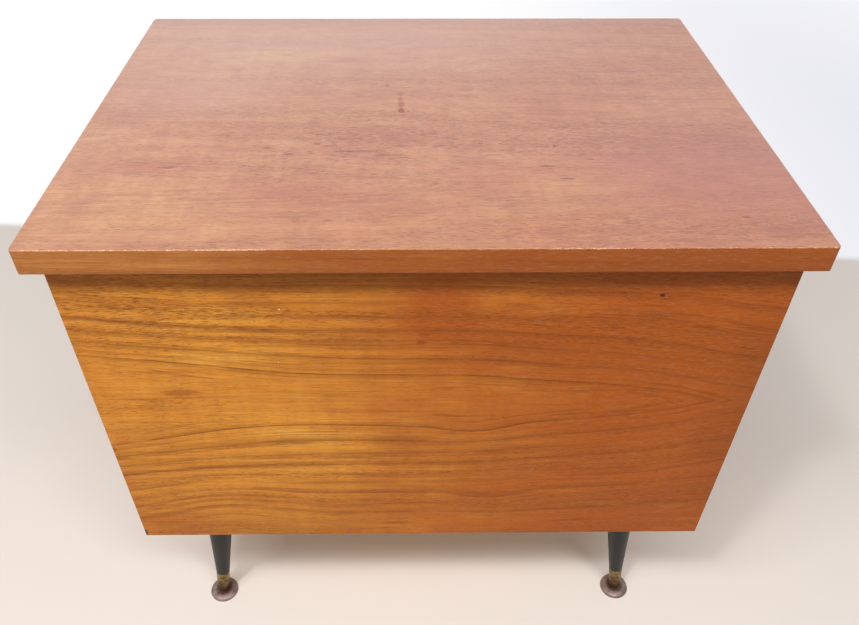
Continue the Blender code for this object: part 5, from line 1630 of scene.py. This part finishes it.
def old_metal(name, tints, rough, cell, metallic=1.0, rust=None, specked=0.6):
    """Metal with an aged skin: bright, tarnished and dark tints, duller in its patches and stains."""
    material, tree, shader = new_finish(name)
    bright, tarnish, dark = [colour(tint) for tint in tints]
    place = grain_place(tree, "level")
    cloud = drift(tree, place, "metal clouds", (cell, cell, cell))
    specks = drift(tree, place, "metal specks")
    base = tinted(tree, bright, cloud, TARNISH_LEVELS, 1, tarnish)
    base = tinted(tree, base, specks, SPECK_LEVELS, specked, dark)
    if rust:
        stained = add(tree, "ShaderNodeAttribute", {}, "Fac", attribute_name="stain")
        uneven = add(tree, "ShaderNodeMath", [cloud, STAIN_CLOUD, stained], operation="MULTIPLY_ADD")
        base = tinted(tree, base, uneven, STAIN_LEVELS, STAIN_WEIGHT, colour(rust))
    dull = add(tree, "ShaderNodeMapRange", [cloud, *DULL_LEVELS, *rough], **SMOOTH)
    bump = add(tree, "ShaderNodeBump", {"Strength": 0.2 * specked, "Distance": SPECK_DEPTH, "Height": specks})
    set_sockets(tree, shader, {"Base Color": base, "Roughness": dull, "Normal": bump, "Metallic": metallic})
    return material


# Timber without varnish: name, turn of the grain, pale, darker and dark tints, and width of the bands in mm
GABOON = ("c99c72", "b98a60", "94683f", 9)
PLAIN_WOODS = {
    # Sliced gaboon on the walls' inner faces: pinkish brown, plain, with fine short fibres
    "inside": ("gaboon_veneer", "front", *GABOON),
    "inside_side": ("gaboon_veneer_side", "side", *GABOON),
    # Rotary-cut birch plywood of the base: pale honey, with broad soft bands
    "plywood": ("birch_plywood", "level", "d9b584", "c9a06c", "a67c4c", 14),
    # Planed pine of the glue blocks: yellow, with narrow dark latewood lines
    "softwood": ("planed_pine", "upright", "dcbc86", "c99a58", "a87a40", 2.4),
}

# Metals: name, bright, tarnished and dark tints, roughness range, patch size in mm, metallic, rust, specks
BRASS_TINTS = ("cdb47c", "b89c62", "7c6438")
METALS = {
    # Rolled brass strip under lacquer: warm and even, hardly spotted
    "hinge_brass": ("lacquered_brass", BRASS_TINTS, (0.30, 0.42), 60, 1.0, None, 0.25),
    # Stamped brass of the stay, handled more: brighter, clouded in smaller patches
    "stay_brass": ("rolled_brass", BRASS_TINTS, (0.28, 0.40), 25, 1.0, None, 0.25),
    # Drawn brass tube near the floor: brown tarnish in small patches, stained round its foot
    "aged_brass": ("aged_brass_tube", ("98804e", "6a563a", "3e2f20"), (0.32, 0.52), 5, 0.85, "46301c"),
    # Pressed steel with a bronze skin: purplish brown, worn, rusty round the cup
    "bronzed_steel": ("bronzed_steel", ("9a8278", "6a5c5c", "3a3134"), (0.42, 0.60), 9, 0.4, "503426"),
    # Zinc-plated steel: cool grey, a little blotched
    "zinc_steel": ("zinc_plated_steel", ("b4b4ae", "94958f", "6c6a64"), (0.3, 0.5), 7),
}


def make_finishes():
    """Every finish of the object, by the name that the pieces ask for."""
    bare = colour("d8ac7c")
    right_figure, right_look = {**SIDE_FIGURE, "seed": 3.9}, {**SIDE_LOOK, "seed": 8.1}
    panels = {
        "front_panel": ("front", FRONT_FIGURE, FRONT_LOOK, FRONT_STROKES, FRONT_MARKS),
        "back_panel": ("front", BACK_FIGURE, SIDE_LOOK, FRONT_STROKES[:3], []),
        "left_panel": ("side", SIDE_FIGURE, SIDE_LOOK, FRONT_STROKES[:4], []),
        "right_panel": ("side", right_figure, right_look, FRONT_STROKES[:4], []),
    }
    finishes = {name: teak_panel(f"oiled_teak_veneer_{name}", *rest, bare) for name, rest in panels.items()}
    for side, turn in (("front", "front"), ("back", "front"), ("left", "side"), ("right", "side")):
        finishes[f"lid_{side}_lipping"] = teak_lipping(f"solid_teak_lipping_{side}", turn)
    finishes["lid_top"] = teak_lid_top()
    finishes.update({name: plain_wood(*values) for name, values in PLAIN_WOODS.items()})
    finishes["ebonised_beech"] = ebonised_beech()
    finishes.update({name: old_metal(*values) for name, values in METALS.items()})
    return finishes


# Stage


def seen_directly(tree):
    """Whether a ray comes from the camera, a reflection or glass, and not from light between surfaces."""
    rays = add(tree, "ShaderNodeLightPath", {}).node.outputs
    seen = add(tree, "ShaderNodeMath", [rays["Is Camera Ray"], rays["Is Glossy Ray"]], operation="ADD")
    return add(tree, "ShaderNodeMath", [seen, rays["Is Transmission Ray"]], operation="ADD", use_clamp=True)


def carpet_and_sheet():
    """Pale carpet out to the foot of a white sheet, which looks white to the camera and in reflections,
    greyed towards the right by painted shade.
    """
    material, tree, shader = new_finish("pale_carpet_and_sheet")
    place = add(tree, "ShaderNodeTexCoord", {}, "Object")
    parts = add(tree, "ShaderNodeSeparateXYZ", [place]).node.outputs
    past = add(tree, "ShaderNodeMath", [parts[0], -CARPET_EDGE_SLOPE, parts[1]], operation="MULTIPLY_ADD")
    edge = (CARPET_EDGE_Y - CARPET_EDGE_BLUR, CARPET_EDGE_Y + CARPET_EDGE_BLUR)
    sheet_part = add(tree, "ShaderNodeMapRange", [past, *edge], **SMOOTH)
    base = tinted(tree, colour("f5ece4"), past, edge, 1, colour("f4f4f8"))
    set_sockets(tree, shader, {"Base Color": base, "Roughness": 0.9, "Specular IOR Level": 0.0})
    away = add(tree, "ShaderNodeVectorMath", [place], 1, operation="LENGTH")
    far = add(tree, "ShaderNodeMapRange", [away, *FLOOR_FADE], **SMOOTH)
    # Painted shade: the sheet greys from white towards the right
    tint = tinted(tree, colour("ffffff"), parts[0], SHEET_SHADE_SPAN, 1, colour("eaeaf1"))
    tint = tinted(tree, tint, away, FLOOR_FADE, 1, colour("ffffff"))
    white = add(tree, "ShaderNodeEmission", {"Color": tint})
    bright = add(tree, "ShaderNodeMath", [sheet_part, far], operation="MAXIMUM")
    factor = add(tree, "ShaderNodeMath", [seen_directly(tree), bright], operation="MULTIPLY")
    mixed = add(tree, "ShaderNodeMixShader", [factor, shader.outputs[0], white])
    tree.links.new(mixed, tree.nodes["Material Output"].inputs["Surface"])
    return material


def make_floor():
    """The plain floor, wide enough to reach past every view's edge."""
    form = bmesh.new()
    reach = FLOOR_HALF_SIZE
    corners = ((-reach, -reach), (reach, -reach), (reach, reach), (-reach, reach))
    form.faces.new([form.verts.new((*spot, 0)) for spot in corners])
    finished("floor", form, carpet_and_sheet())


def make_light():
    """An even white room, and the lamps, which face the object from the front left."""
    world = bpy.data.worlds.new("pale_room")
    world.use_nodes = True
    bpy.context.scene.world = world
    tree = world.node_tree
    room = tree.nodes["Background"]
    set_sockets(tree, room, {"Color": colour("ffffff"), "Strength": ROOM_STRENGTH})
    white = add(tree, "ShaderNodeBackground", {"Color": colour("ffffff"), "Strength": 1.0})
    mixed = add(tree, "ShaderNodeMixShader", [seen_directly(tree), room.outputs[0], white])
    tree.links.new(mixed, tree.nodes["World Output"].inputs["Surface"])
    for name, values in LAMPS.items():
        lamp = bpy.data.lights.new(name, "AREA")
        lamp.shape = "RECTANGLE"
        lamp.size, lamp.size_y = values["size"]
        lamp.energy = values["watts"]
        holder = bpy.data.objects.new(name, lamp)
        holder.location = values["place"]
        away = Vector(values["place"]) - Vector(LAMP_AIM)
        holder.rotation_euler = away.to_track_quat("Z", "Y").to_euler()
        bpy.context.scene.collection.objects.link(holder)


def make_camera():
    """The photograph's view."""
    data = bpy.data.cameras.new("camera")
    data.sensor_fit = "HORIZONTAL"
    data.sensor_width = SENSOR_WIDTH
    data.lens = SENSOR_WIDTH * FOCAL_PIXELS / IMAGE_WIDTH
    data.shift_x = -CENTRE_SHIFT_PIXELS[0] / IMAGE_WIDTH
    data.shift_y = CENTRE_SHIFT_PIXELS[1] / IMAGE_WIDTH
    camera = bpy.data.objects.new("camera", data)
    bpy.context.scene.collection.objects.link(camera)
    aim = Matrix.Rotation(CAMERA_YAW, 4, "Z") @ Matrix.Rotation(math.pi / 2 - CAMERA_PITCH, 4, "X")
    camera.matrix_world = Matrix.Translation(CAMERA_PLACE) @ aim @ Matrix.Rotation(CAMERA_ROLL, 4, "Z")
    bpy.context.scene.camera = camera


def main():
    bpy.context.scene.view_settings.view_transform = "Standard"
    make_camera()
    make_light()
    make_floor()
    finishes = make_finishes()
    make_walls(finishes)
    make_lid_top(finishes)
    make_lid_core(finishes)
    make_lippings(finishes)
    make_base_and_blocks(finishes)
    make_hinge(finishes)
    make_stay(finishes)
    make_legs(finishes)
    make_screws(finishes)


main()
